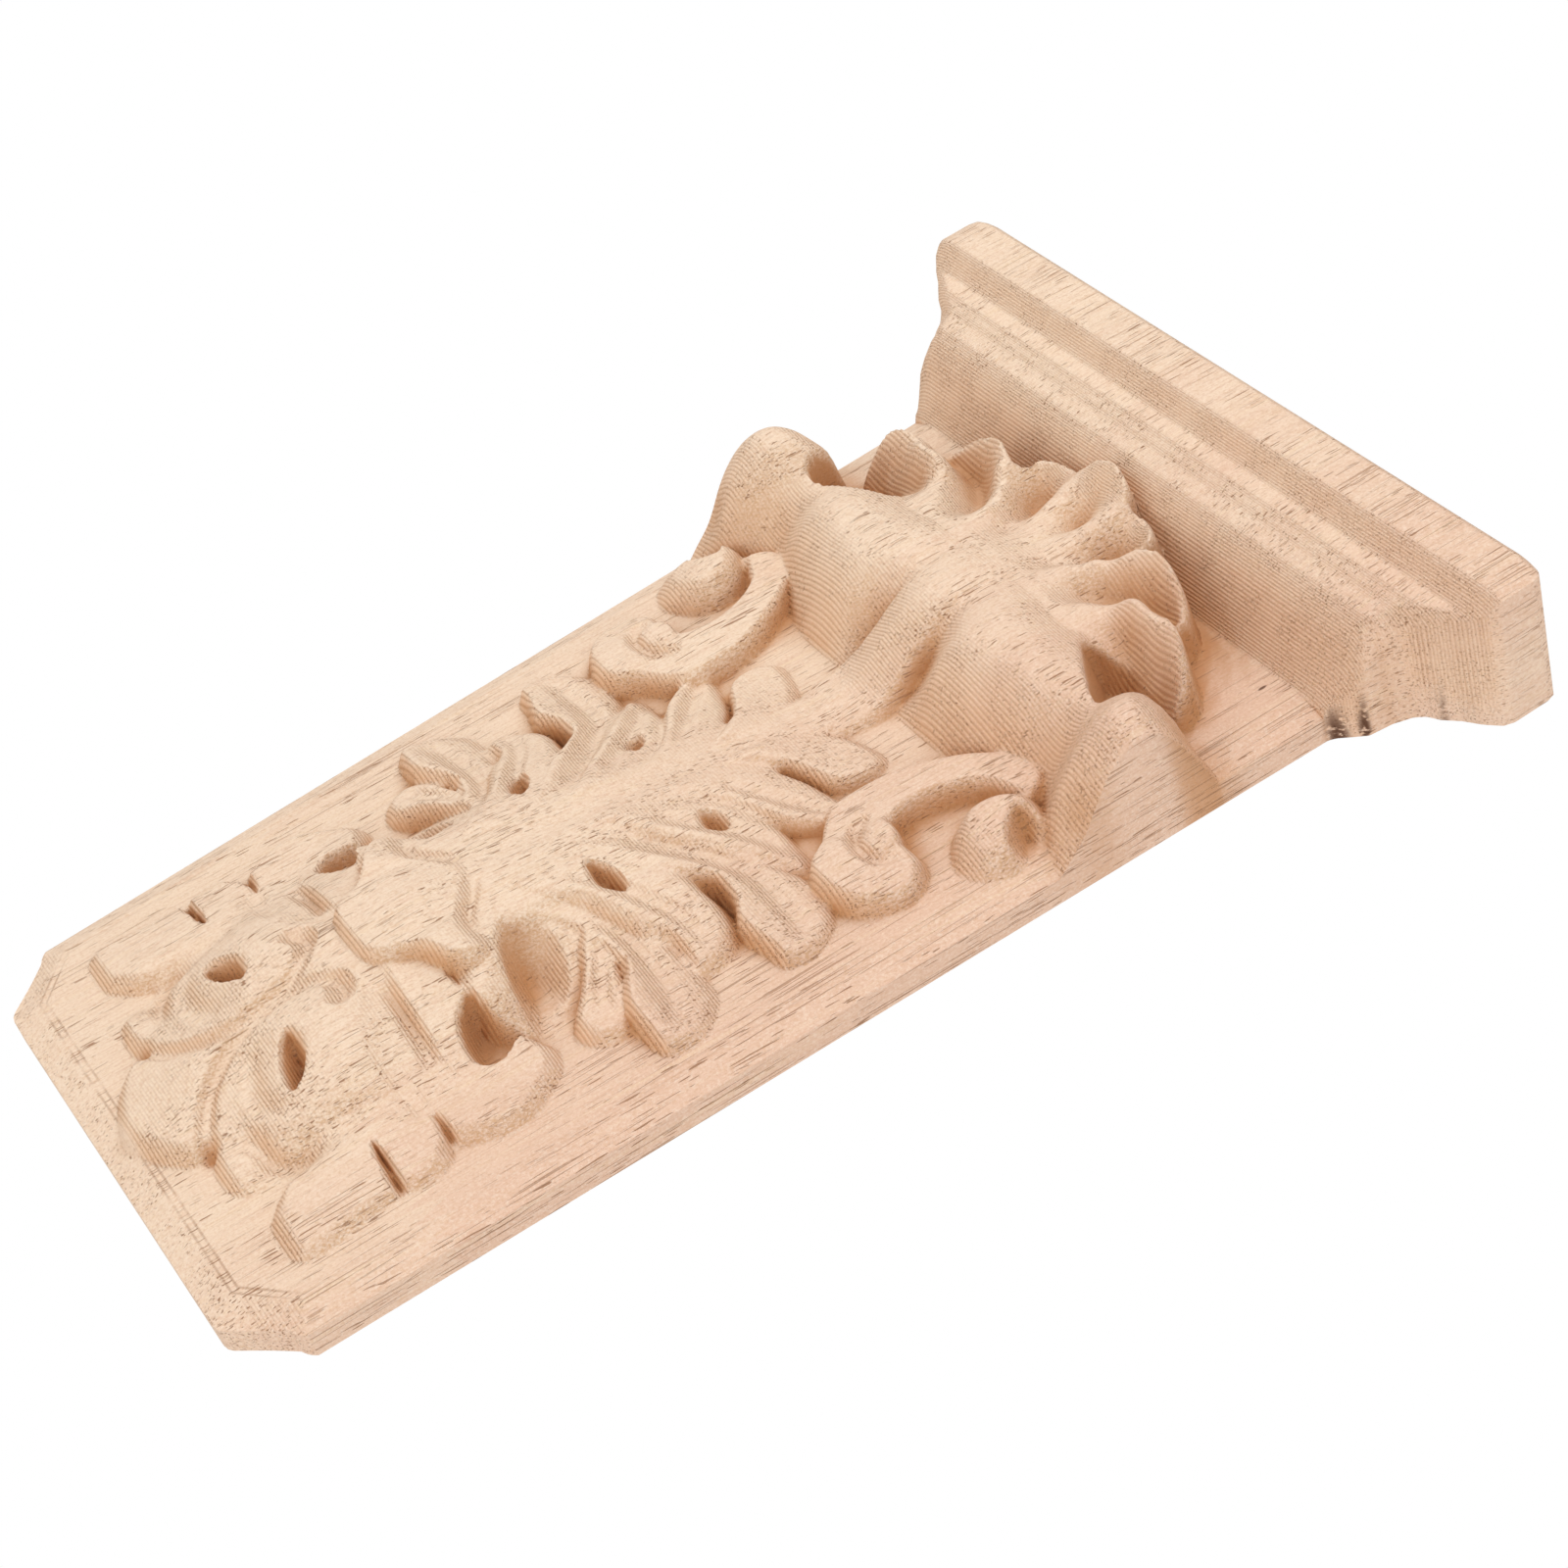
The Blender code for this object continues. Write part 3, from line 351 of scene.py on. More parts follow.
# The flutes of the side lobes: path, width and depth.
LOBE_FLUTES = [
    ([(31, 106), (36, 104), (41, 101.4), (48, 98.4)], 2.8, 1.3),
    ([(19, 98), (24, 106), (31, 110.4), (40, 111.8), (50, 111), (60, 109)], 3.2, 1.5),
    ([(16, 110), (22, 115), (29, 119.6), (37, 123.4), (46, 125)], 3.0, 1.4),
    ([(14, 124), (20, 130.6), (28, 137.6), (36, 141.6), (47, 142), (58, 141.6)], 3.4, 1.5),
    ([(11, 133), (18, 140.6), (26, 147.6), (34, 152.4)], 2.8, 1.3),
    ([(10, 150.6), (18, 156.6), (26, 162.4), (30, 166.4)], 2.4, 1.1),
]


def carve_side_lobes(carving):
    """Seven lobes a side, each lapping the one nearer the foot."""
    carving.leaf([(26, 106), (29, 102.6), (33.4, 100), (37.4, 96.4), (41, 93), (45, 91.4),
                  (50, 93), (52.8, 97.6), (52, 102), (48, 105.4), (42, 107.4), (36, 109),
                  (30, 109)],
                 [(30, 105, 17.8), (34, 103, 16.8), (38, 100, 15.6), (42, 96.6, 13.8),
                  (46, 95, 12.6), (49.6, 97.6, 12), (48, 101.6, 12.6), (43, 102, 14.4),
                  (39, 105, 15), (34, 107, 16)], wall=3.4)
    carving.leaf([(13, 90), (18.4, 93), (20, 99), (23.5, 103), (27.5, 105.4), (34.7, 107),
                  (40, 106.4), (44, 104.4), (50, 101.6), (56, 101.4), (63, 102.8),
                  (65, 107), (64.6, 111.6), (61, 116.4), (56, 119.6), (46, 120), (34, 118),
                  (24, 112), (13, 104)],
                 [(18.6, 95, 22.8), (20.5, 99.5, 22), (24, 103.8, 20.8), (28, 106.6, 19.4),
                  (34.7, 108.8, 17.6), (39.7, 109, 16.6), (46.7, 108.2, 15.4),
                  (55.5, 106.8, 14), (61, 106.4, 12.6), (26, 109.4, 18.6), (36, 112.6, 15.4),
                  (46, 113.6, 13.2), (56, 113, 12), (41, 117, 13.4), (18, 101, 21.6)],
                 wall=3)
    carving.leaf([(10, 99), (17, 102.6), (22, 107.6), (28.6, 111.2), (35.6, 114.6),
                  (41.5, 118), (47.5, 118), (50.6, 120), (50.4, 124.4), (48, 128.8),
                  (43, 132.6), (34, 133), (22, 129), (10, 118)],
                 [(15, 107, 23.8), (20, 112, 22.4), (26.4, 115.6, 20.4), (34, 118.6, 17.6),
                  (41, 121.4, 15), (47, 122, 12.8), (20, 119, 21), (28, 121.4, 19),
                  (36, 126, 16.2), (44, 127.6, 13), (25, 126, 18.8)], wall=4)
    carving.leaf([(8, 112), (12.6, 117), (17.6, 121.4), (24.7, 126.8), (29, 130.4), (33, 133.6),
                  (39, 133.6), (45, 131.2), (49.4, 131.6), (54.6, 132.8), (60, 133.8),
                  (62, 138.6), (60.8, 143.4), (57, 147.8), (51.6, 150.8), (44, 151.6),
                  (34, 148), (24, 140), (12, 126)],
                 [(13, 121, 22), (17.6, 125.4, 20.8), (24, 130.6, 18.8), (29, 134.4, 17.2),
                  (34, 137, 16), (40, 137.6, 15), (47, 136.6, 14), (55, 137.6, 12.8),
                  (24, 136, 16.6), (32, 142, 13.8), (42, 145, 12.4), (52, 145, 11.8),
                  (17, 131, 18.4)], wall=2.8)
    carving.leaf([(5, 122), (10, 126), (16, 130), (24.8, 137.8), (31.6, 143.4), (37, 148.4),
                  (39.6, 151.6), (37, 154.4), (32, 154.8), (24, 155), (14, 150), (6, 140)],
                 [(10, 130, 21.4), (16, 135, 19.4), (23, 141, 17), (30, 146.6, 14.4),
                  (36, 151, 11.2), (20, 147, 15.6), (28, 151.4, 12.8), (12, 139, 18.6)],
                 wall=3.4)
    carving.leaf([(4, 140), (10, 145), (17, 149.8), (25, 153.6), (29.4, 157.4), (33, 163),
                  (31.4, 169.6), (24, 168.6), (15, 166), (6, 158)],
                 [(9, 149, 17.4), (17, 153.6, 15.6), (24.6, 157.4, 14), (30, 163.4, 12.2),
                  (23, 163.6, 12), (14, 159, 14.6)], wall=2.6)
    carving.leaf([(3, 156), (9, 162), (16, 166.2), (22, 168.8), (25.2, 173), (25.8, 178.6),
                  (23, 183.2), (17, 183), (9, 180), (3, 172)],
                 [(8, 165.6, 15), (15, 169.4, 13.8), (21, 173.4, 12.6), (21, 179, 11.6),
                  (12, 174.6, 12.4)], wall=2.6)
    # A flute runs down each lobe towards its tip.
    for path, width, depth in LOBE_FLUTES:
        carving.groove(path, width, depth)
    # The two drilled eyes, and the flute down the middle of the leaf.
    carving.hollow([(14.4, 115), (17.4, 113.6), (22, 114), (25.2, 117.4), (23.6, 119),
                    (18.6, 118.4)], 15.5, wall=2.4)
    carving.hollow([(13.6, 142.2), (16.4, 140.6), (19.6, 141.6), (21.2, 145), (19, 146.2),
                    (15.6, 145.2)], 12.5, wall=2.2)
    carving.groove([(0, 96), (0, 112), (0, 130), (0, 150), (0, 168)], 4.5, 0.8)


def carve_turned_tip(carving):
    """The leaf's tip, which turns over towards the foot."""
    carving.leaf(both_sides([(0, 64.4), (8, 65), (11.4, 68), (13, 72), (16, 75),
                             (21, 77.6), (24.6, 82.4), (22.6, 87.4), (17.4, 86.4),
                             (12.4, 87.4), (7, 91.4), (0, 94)]),
                 [(0, 70, 27.6), (0, 80, 28.4), (8, 72, 27.6), (0, 90, 26.8), (15.6, 79.4, 27.6),
                  (21, 83, 26.4), (21.4, 86, 25.4), (10, 84, 27)], wall=2.5)
    carving.groove([(3, 94), (8, 91), (12.8, 87.4), (18, 86.6)], 2.4, 1.2)
    carving.groove([(11, 70), (11.4, 78), (9, 86)], 3.6, 0.9)


def carve_acanthus(carving):
    """The tall acanthus leaf: body, side lobes and the tip that turns over."""
    carving.leaf(both_sides([(0, 64), (7, 65), (12.4, 65.4), (16, 67.8), (20, 70.2), (28, 71.4),
                             (34, 73.2), (37.6, 76.6), (40.4, 81), (41.4, 86), (39, 89),
                             (40, 96), (38, 110), (34, 125), (30, 140), (24, 152),
                             (15, 160), (9, 170), (8, 182), (0, 186)]),
                 [(0, 66, 25), (0, 75, 26), (0, 85, 26), (0, 100, 25), (0, 115, 23.6),
                  (0, 130, 21.6), (0, 145, 18.8), (0, 160, 15.8), (0, 175, 13), (0, 184, 12),
                  (9, 70, 23), (16, 71.4, 19.4), (22, 76.6, 19), (28, 76, 18.6),
                  (30.4, 77.6, 19.8), (33.2, 80, 17.8), (34.4, 83.2, 15.2), (35, 86.5, 12.2),
                  (38, 84, 11), (31.8, 73.6, 15.4), (36, 76.4, 9.6), (38, 79, 9.4),
                  (22, 84, 23.6), (21, 90, 22.8), (18.3, 95, 22.6), (18, 102, 22.2),
                  (14, 110, 22.8), (12, 120, 21.8), (10, 130, 20.4), (9, 140, 18.6),
                  (8, 150, 16.6), (6, 165, 14.2), (6, 178, 12.4), (28, 83, 20.6),
                  (30, 90, 16), (26, 100, 17), (26, 112, 16), (34, 110, 13), (22, 125, 15.6),
                  (32, 125, 12.5), (20, 138, 14), (30, 138, 12), (18, 150, 12.6)], wall=3.2)
    carve_scoop(carving)
    carve_hollow(carving)
    carve_side_lobes(carving)
    carve_turned_tip(carving)


def carve_scrolls(carving):
    """The C scroll beside the stem: band, lower volute and upper bud."""
    carving.leaf([(46, 204), (39, 197), (35, 191), (31, 183), (29.2, 175), (29.6, 165),
                  (33, 160), (38, 156), (42.6, 150.4), (50, 149.2), (57.6, 151.6),
                  (62.6, 158), (63.4, 165), (58, 170.6), (51, 170.8), (46, 171.4),
                  (44, 178), (46, 186), (50, 191.6), (54, 193.4), (60, 197), (56, 204)],
                 [(34, 176, 14.8), (36, 188, 14.8), (42, 196, 14.6), (50, 201, 14),
                  (34, 167, 14.8), (40, 174, 15.4), (41, 182, 15.2), (45, 190, 15),
                  (52, 196, 14.4), (50, 160, 15.8), (57, 164, 13.8), (46, 166, 15.4),
                  (40, 162, 14.8)], wall=2.6)
    carving.leaf([(42.4, 152.4), (50, 148.8), (58, 151.4), (63.2, 158), (63, 165),
                  (57, 169), (50, 168), (44, 163), (39.4, 158)],
                 [(47, 161, 16.4), (55, 164, 15)], wall=9, stretch=0.8, swell=1.6)
    carving.groove([(39.6, 168), (42.4, 163.6), (47, 161.4), (52.4, 162.6), (54.6, 167)],
                   2.2, 2.0)
    carving.leaf([(43.8, 165.4), (48, 163.8), (52, 166), (51, 170.4), (46.4, 171.8),
                  (43, 169)], [(47.4, 167.6, 16.4)], wall=2.6)
    carving.leaf([(51.4, 187), (52.6, 181.4), (56.6, 177), (63, 174.6), (69.4, 177),
                  (71.6, 183), (70.4, 190), (67, 196.4), (60, 198), (54, 193.6)],
                 [(56, 187, 16.4), (61, 193, 17), (62, 184, 15.8), (66, 181, 14)],
                 wall=5.4, swell=1.7)
    carving.hollow([(61.4, 192), (64, 187.4), (69, 184.6), (75, 186), (76.6, 189.8),
                    (71, 193.6), (65, 194.4)], FIELD_THICKNESS, wall=3.4)


def carve_capital(carving):
    """The rolled capital: a bulge and an ear a side, and the stem between them."""
    carving.leaf([(9, 190), (14, 191.6), (20, 192.4), (30, 192), (40, 194.4), (48, 198),
                  (55, 198.6), (61, 195.4), (67, 192), (73, 189.8), (80, 189), (80.6, 198),
                  (80.8, 210), (80.6, 222), (79, 229.6), (72, 230.4), (62, 228.6), (52, 229),
                  (44, 230), (36, 232), (26, 236), (12, 238), (7, 228), (6, 210)],
                 [(11, 194, 9.4), (11, 199, 11.4), (11.4, 204, 15.6), (11, 209, 21),
                  (11, 214, 24.4), (11, 226, 25.2), (11, 236, 22.6),
                  (19, 195, 12), (19, 199, 18), (19, 203, 22.4), (19, 207, 25), (19, 213, 27),
                  (19, 220, 27.2), (19, 228, 25), (19, 235, 21.6),
                  (31, 195, 11), (31, 199, 17.4), (31, 203, 22.2), (31, 207, 25),
                  (31, 213, 27), (31, 220, 26.8), (31, 229, 23.2),
                  (45, 198, 10), (45, 202, 16.6), (45, 206, 22), (45, 210, 24.8),
                  (45, 216, 26.4), (45, 223, 25), (45, 229, 22.4),
                  (56, 201, 11), (56.4, 206, 15.6), (57, 210, 19.8), (57, 215, 23.4),
                  (57, 221, 24.4), (57, 228, 21.6),
                  (62, 197, 10), (62.6, 201, 15.4), (63, 206, 21), (63, 212, 26),
                  (63, 219, 28), (63, 225, 25.6), (63, 229, 20),
                  (69, 193.6, 10), (69, 198, 17.6), (69, 203, 24.4), (69.4, 209, 29),
                  (70.6, 217.4, 31.8), (70, 223, 28.8), (70, 228, 20), (75, 193, 9.4),
                  (74.6, 198.4, 14.4), (74.4, 202, 21.2), (74.6, 208, 27.6), (75, 215, 30.8),
                  (75, 220, 29.4), (75, 224, 24), (75, 228, 14.6)],
                 wall=2.6, swell=1.6)
    carving.leaf(both_sides([(0, 172), (8, 176), (10.4, 183), (10.8, 190), (10, 198),
                             (9.4, 206), (9.4, 216), (10.4, 228), (11.6, 240), (0, 242)]),
                 [(0, 180, 12.2), (6, 184, 12), (0, 189, 13.8), (7, 190, 12.4), (0, 195, 17),
                  (7, 196, 14.8), (0, 201, 21), (7, 202, 18.6), (0, 207, 24.4), (7, 208, 22.6),
                  (0, 214, 26.8), (7, 215, 25.4), (0, 222, 26.8), (7, 223, 25.8), (0, 231, 24.6),
                  (7, 232, 24), (0, 240, 21.6), (8, 240, 21.2)], wall=2.8)


def carve_fan(carving):
    """A fan of spoon-shaped lobes, side by side, from the capital to the cornice."""
    middle = [(0, 232, 24.6), (0, 238, 22.6), (0, 245, 21), (0, 250, 19), (0, 254, 18),
              (0, 257.6, 21), (0, 262.4, 27.6), (5, 262, 27), (4.6, 257, 23.6), (6.8, 245, 22),
              (7.6, 251, 23.2), (9, 256, 24), (9.6, 260.6, 24.4), (5, 238, 22.4)]
    short = [(13, 245.6, 18.4), (14.4, 250, 16), (15.4, 254.6, 16.2), (13.7, 262, 22.4),
             (17.6, 259.8, 22.4), (20.8, 256.4, 22), (22, 251, 23.4), (18.6, 245.4, 24.4),
             (15.6, 239.6, 24.4), (13.6, 235, 24), (9.4, 240, 20.8)]
    inner = [(24.6, 249, 25.4), (29.4, 252.2, 25.6), (33.8, 253, 25), (38, 252, 23),
             (42, 249.4, 19.6), (43.6, 246, 17.6), (23.8, 244, 18.4), (28, 246.4, 17),
             (33, 248, 16.6), (36, 246.4, 16.8), (21.6, 239, 19), (39.4, 247, 17),
             (33, 240.6, 22.6), (29, 235.8, 23.8)]
    outer = [(35.8, 242.5, 24.4), (38.5, 242.8, 25.8), (41, 241.6, 27.4), (45.2, 241, 27.2),
             (52, 240.2, 24.8), (56, 238.2, 22.4), (59.1, 236, 18), (38, 236, 20.4),
             (41.6, 237, 19), (46, 236.6, 18.4), (51, 236, 16.4), (56, 233.8, 13), (34, 232, 23),
             (40, 231, 20), (20, 230, 24.6), (10, 231, 24.4), (28, 230, 24.2), (50, 232, 13.4)]
    carving.leaf(both_sides([(0, 228), (14, 229), (26, 228), (34, 226.6), (40, 227), (46, 230),
                             (52, 231), (58, 229.8), (62.4, 231.4), (62.8, 235.6), (60.4, 240),
                             (55, 243.4), (49.4, 245.2), (47.2, 247), (45.8, 250.4),
                             (41.4, 254), (36, 255.8), (31, 256.4), (27, 255.4),
                             (24.2, 255.2), (22.8, 259.4), (18.6, 262.6), (13.6, 264),
                             (10, 263.2), (6.6, 265.8), (0, 267)]),
                 middle + short + inner + outer, wall=2.2)
    # The deep pocket behind the bulge, open towards the side of the board.
    carving.hollow([(37.6, 228), (41.4, 231.6), (46.6, 233.6), (51, 233), (56, 231.6),
                    (61, 230.6), (63, 226.4), (62.4, 221.6), (59.4, 218.2), (54, 218.6),
                    (48, 221.4), (42, 224.8)], 9.6, wall=3.2)


# The block.  Board, cornice and carving are one piece of wood: the carved front, walls
# straight back from its edge, and a flat back that lies on the wall.  Columns and row
# step set how fine the front is, and the origin is at half its height.
MM = 0.001
ORIGIN_HEIGHT = LENGTH / 2
COLUMNS = 228
ROW_STEP = 0.78


def front_height(x, y):
    ground = board_front(x, y)
    carving = Carving(x, y, ground)
    for carve in (carve_palmette, carve_collar, carve_acanthus, carve_scrolls,
                  carve_capital, carve_fan):
        carve(carving)
    return np.maximum(carving.z.reshape(x.shape), cornice_block(x, y))


def row_heights():
    """Rows up the board, closer together at the foot notches and the cornice."""
    foot = np.array([0.0, 0.15, 0.35, 0.7, 1.2, 2.0, 3.2, 4.4])
    board = np.arange(5.4, CORNICE_START - 0.6, ROW_STEP)
    head = np.linspace(CORNICE_START - 0.3, LENGTH, 62)
    return np.concatenate([foot, board, head])


def walled_in_shade(heights):
    """How far each spot is walled in: 0 in the open, near 1 in a deep narrow hole."""
    reach = 18
    directions = 8
    padded = np.pad(heights, reach, mode="edge")
    closed = np.zeros_like(heights)
    for turn in np.arange(directions) * (2 * math.pi / directions):
        steepest = np.zeros_like(heights)
        for step in (2, 4, 7, 12, reach):
            over, up = round(step * math.cos(turn)), round(step * math.sin(turn))
            gap = math.hypot(over * 2 * FOOT_HALF_WIDTH / COLUMNS, up * ROW_STEP)
            there = padded[reach + up:reach + up + heights.shape[0],
                           reach + over:reach + over + heights.shape[1]]
            steepest = np.maximum(steepest, (there - heights) / gap)
        closed += steepest ** 2 / (1 + steepest ** 2) / directions
    return closed


def carved_sheet():
    """The carved front as one open sheet of fine squares, placed against the wall."""
    rows = row_heights()
    bpy.ops.mesh.primitive_grid_add(x_subdivisions=COLUMNS, y_subdivisions=len(rows) - 1,
                                    size=2)
    sheet = bpy.context.object
    points = np.empty(len(sheet.data.vertices) * 3)
    sheet.data.vertices.foreach_get("co", points)
    points = points.reshape(-1, 3)
    row = (points[:, 1] + 1) / 2 * (len(rows) - 1)
    y = np.interp(row, np.arange(len(rows)), rows)
    x = points[:, 0] * half_width(y)
    z = front_height(x, y)
    placed = np.stack([x, -z, y - ORIGIN_HEIGHT], axis=1) * MM
    placed = np.clip(placed, cad_box[0], cad_box[1])
    sheet.data.vertices.foreach_set("co", placed.ravel())
    # How walled in each point is, kept on the mesh to set the painted shade in the hollows.
    order = np.lexsort((points[:, 0], np.round(row)))
    square = z[order].reshape(len(rows), COLUMNS + 1)
    closed = np.empty(len(z))
    closed[order] = walled_in_shade(square).ravel()
    shade = sheet.data.attributes.new("walled_in_shade", "FLOAT", "POINT")
    shade.data.foreach_set("value", closed)
    return sheet


def close_back(mesh):
    """Walls straight back from the sheet's edge to the wall plane, and the back."""
    form = bmesh.new()
    form.from_mesh(mesh)
    edge = [e for e in form.edges if e.is_boundary]
    grown = bmesh.ops.extrude_edge_only(form, edges=edge)["geom"]
    back = [v for v in grown if isinstance(v, bmesh.types.BMVert)]
    for corner in back:
        corner.co.y = 0.0
    rim = [e for e in form.edges if e.is_boundary]
    bmesh.ops.contextual_create(form, geom=rim)
    bmesh.ops.triangulate(form, faces=[f for f in form.faces if len(f.verts) > 3])
    bmesh.ops.recalc_face_normals(form, faces=form.faces)
    form.to_mesh(mesh)
    form.free()


applique = carved_sheet()
applique.name = "carved_front"
close_back(applique.data)
applique.data.shade_smooth()
applique.data.set_sharp_from_angle(angle=1.1)


# The timber.  Pale rubberwood staves are glued edge to edge and finger-jointed end to
# end, then carved dry and left bare, so the pores and the cutter's passes show, and the
# deep cuts are painted brown, partly as the wood's browning and partly as painted shade.
CREAM = (0.86, 0.665, 0.50, 1)
PINK = (0.79, 0.535, 0.395, 1)
STRAW = (0.85, 0.64, 0.43, 1)
STREAK_PINK = (0.66, 0.385, 0.255, 1)
PAINTED_SHADE_ORANGE = (0.85, 0.51, 0.29, 1)
PASS_BROWN = (0.42, 0.20, 0.09, 1)
HOLLOW_BROWN_AND_SHADE = (0.54, 0.25, 0.095, 1)
PORE_BROWN = (0.33, 0.16, 0.08, 1)
FUZZ_TAN = (0.62, 0.37, 0.19, 1)
BLEACHED = (0.92, 0.76, 0.61, 1)
SCORCH = (0.12, 0.05, 0.025, 1)

# The grain leans to the side by this share of its run.  The figure's sizes are its width
# and its length along the grain.
GRAIN_LEAN = 0.06
DRIFT_SIZE = (24 * MM, 150 * MM)
STREAK_SIZE = (1.5 * MM, 70 * MM)
FINE_STREAK_SIZE = (0.4 * MM, 14 * MM)
FUZZ_SIZE = (0.55 * MM, 0.8 * MM)
PORE_SIZE = (0.38 * MM, 6.5 * MM)
GRAIN_LINE_SIZE = (0.38 * MM, 34 * MM)
CROWDING_SIZE = (9 * MM, 60 * MM)
WANDER_SIZE = (40 * MM, 30 * MM)
RAGGED_SIZE = (1.2 * MM, 2.5 * MM)
PASS_WIDTH = 0.76 * MM
CORNICE_PASS_WIDTH = 0.48 * MM
STAVE_WIDTH = 47 * MM
STAVE_LENGTH = 210 * MM
FINGER_WIDTH = 4.5 * MM
FINGER_LENGTH = 9 * MM

# The border's second line lies this far inside the first, and each fades out this far
# from its middle.
SECOND_LINE = 1.5 * MM
LINE_FADE = 0.4 * MM

# Scorch marks: across, height and size, on the cornice's right-hand end.
SCORCHES = [(81.4, 108.8, 4.0), (84.6, 113.6, 2.4), (91.8, 127.4, 3.2), (97.0, 131.4, 2.6)]

# The black speck in the board: where it is, and its width and length to scale.
SPECK_ACROSS = 64.3 * MM
SPECK_HEIGHT = 103.2 * MM
SPECK_SIZE = (0.5, 1.4)


class Wire:
    """One shader socket; sums on it add the Math nodes that work them out."""

    def __init__(self, bench, socket):
        self.bench = bench
        self.socket = socket

    def calc(self, operation, *others):
        return self.bench.node("ShaderNodeMath", {"operation": operation}, [self, *others])

    def swapped(self, operation, first):
        return self.bench.node("ShaderNodeMath", {"operation": operation}, [first, self])

    def __add__(self, other):
        return self.calc("ADD", other)

    def __sub__(self, other):
        return self.calc("SUBTRACT", other)

    def __mul__(self, other):
        return self.calc("MULTIPLY", other)

    def __truediv__(self, other):
        return self.calc("DIVIDE", other)

    def __pow__(self, other):
        return self.calc("POWER", other)

    def __rsub__(self, first):
        return self.swapped("SUBTRACT", first)

    def __rtruediv__(self, first):
        return self.swapped("DIVIDE", first)

    __radd__ = __add__
    __rmul__ = __mul__

    def between(self, low, high):
        """0 at low, 1 at high and an easy rise from one to the other."""
        return self.bench.node("ShaderNodeMapRange", {"interpolation_type": "SMOOTHSTEP"},
                               {"Value": self, "From Min": low, "From Max": high})


class Bench:
    """A material in the making: each call lays one node and joins its sockets."""

    def __init__(self, name):
        self.material = bpy.data.materials.new(name)
        self.material.use_nodes = True
        self.tree = self.material.node_tree
        self.shader = self.tree.nodes["Principled BSDF"]

    def join(self, value, socket):
        if isinstance(value, Wire):
            self.tree.links.new(value.socket, socket)
        else:
            socket.default_value = value

    def node(self, kind, settings=None, values=(), out=0):
        made = self.tree.nodes.new(kind)
        for name, setting in (settings or {}).items():
            setattr(made, name, setting)
        named = values.items() if isinstance(values, dict) else enumerate(values)
        for key, value in named:
            self.join(value, made.inputs[key])
        return Wire(self, made.outputs[out])

    def mix(self, share, first, second):
        return self.node("ShaderNodeMix", {"data_type": "RGBA"},
                         {0: share, 6: first, 7: second}, out=2)

    def noise(self, at, detail=2.0, roughness=0.5):
        return self.node("ShaderNodeTexNoise", {},
                         {"Vector": at, "Scale": 1.0, "Detail": detail,
                          "Roughness": roughness})

    def finish(self, socket, value):
        self.join(value, self.shader.inputs[socket])


wood = Bench("bare_rubberwood")
place = wood.node("ShaderNodeTexCoord", out="Object")
across = wood.node("ShaderNodeSeparateXYZ", values=[place], out="X")
depth = wood.node("ShaderNodeSeparateXYZ", values=[place], out="Y")
height = wood.node("ShaderNodeSeparateXYZ", values=[place], out="Z")
facing = wood.node("ShaderNodeNewGeometry", out="Normal")
to_foot = wood.node("ShaderNodeSeparateXYZ", values=[facing], out="Z")
to_side = wood.node("ShaderNodeSeparateXYZ", values=[facing], out="X")
to_wall = wood.node("ShaderNodeSeparateXYZ", values=[facing], out="Y")

# Faces that the cutter crossed: not the board's own sides or the border at its foot.
off_border = height.between(-144.5 * MM, -142 * MM)
carved = to_wall.calc("ABSOLUTE").between(0.02, 0.12) * off_border
# Faces turned towards the foot, away from the head light, which take a painted shade.
foot_facing_shade = (0 - to_foot).between(0.25, 0.95)
sideways = to_side.calc("ABSOLUTE").between(0.35, 0.8)


def along_grain(width, length, lean=GRAIN_LEAN):
    """Coordinates stretched so that a texture runs with the leaning grain."""
    leaning = across - height * lean
    return wood.node("ShaderNodeCombineXYZ",
                     values=[leaning / width, depth / width, height / length])


# The board's own sides and the ears' outer faces are sawn smooth along the grain.
foot_gap = height + ORIGIN_HEIGHT * MM
widening = (HEAD_HALF_WIDTH - FOOT_HALF_WIDTH) / CORNICE_START
side_gap = foot_gap * widening + FOOT_HALF_WIDTH * MM - across.calc("ABSOLUTE")
inboard = side_gap.between(0.8 * MM, 2.6 * MM)

# A fine double line runs round the foot and sides where the border meets the field.
corner_start = (board_half_width(NOTCH_HEIGHT) - NOTCH_WIDTH) * MM
corner_gap = ((corner_start - across.calc("ABSOLUTE")) * (NOTCH_HEIGHT / CORNER_RUN)
              + foot_gap * (NOTCH_WIDTH / CORNER_RUN))
inside = side_gap.calc("MINIMUM", foot_gap).calc("MINIMUM", corner_gap)
border_line = 0.0
for line_gap in (BEVEL_RUN * MM, BEVEL_RUN * MM + SECOND_LINE):
    off_line = (inside - line_gap).calc("ABSOLUTE")
    border_line = (1 - off_line.between(LINE_FADE / 4, LINE_FADE)) + border_line
on_field = depth.between(-9.4 * MM, -9.0 * MM) * depth.between(-4 * MM, -6 * MM)
border_line = border_line * (1 - side_gap.between(12 * MM, 9 * MM) * 0.6) * on_field

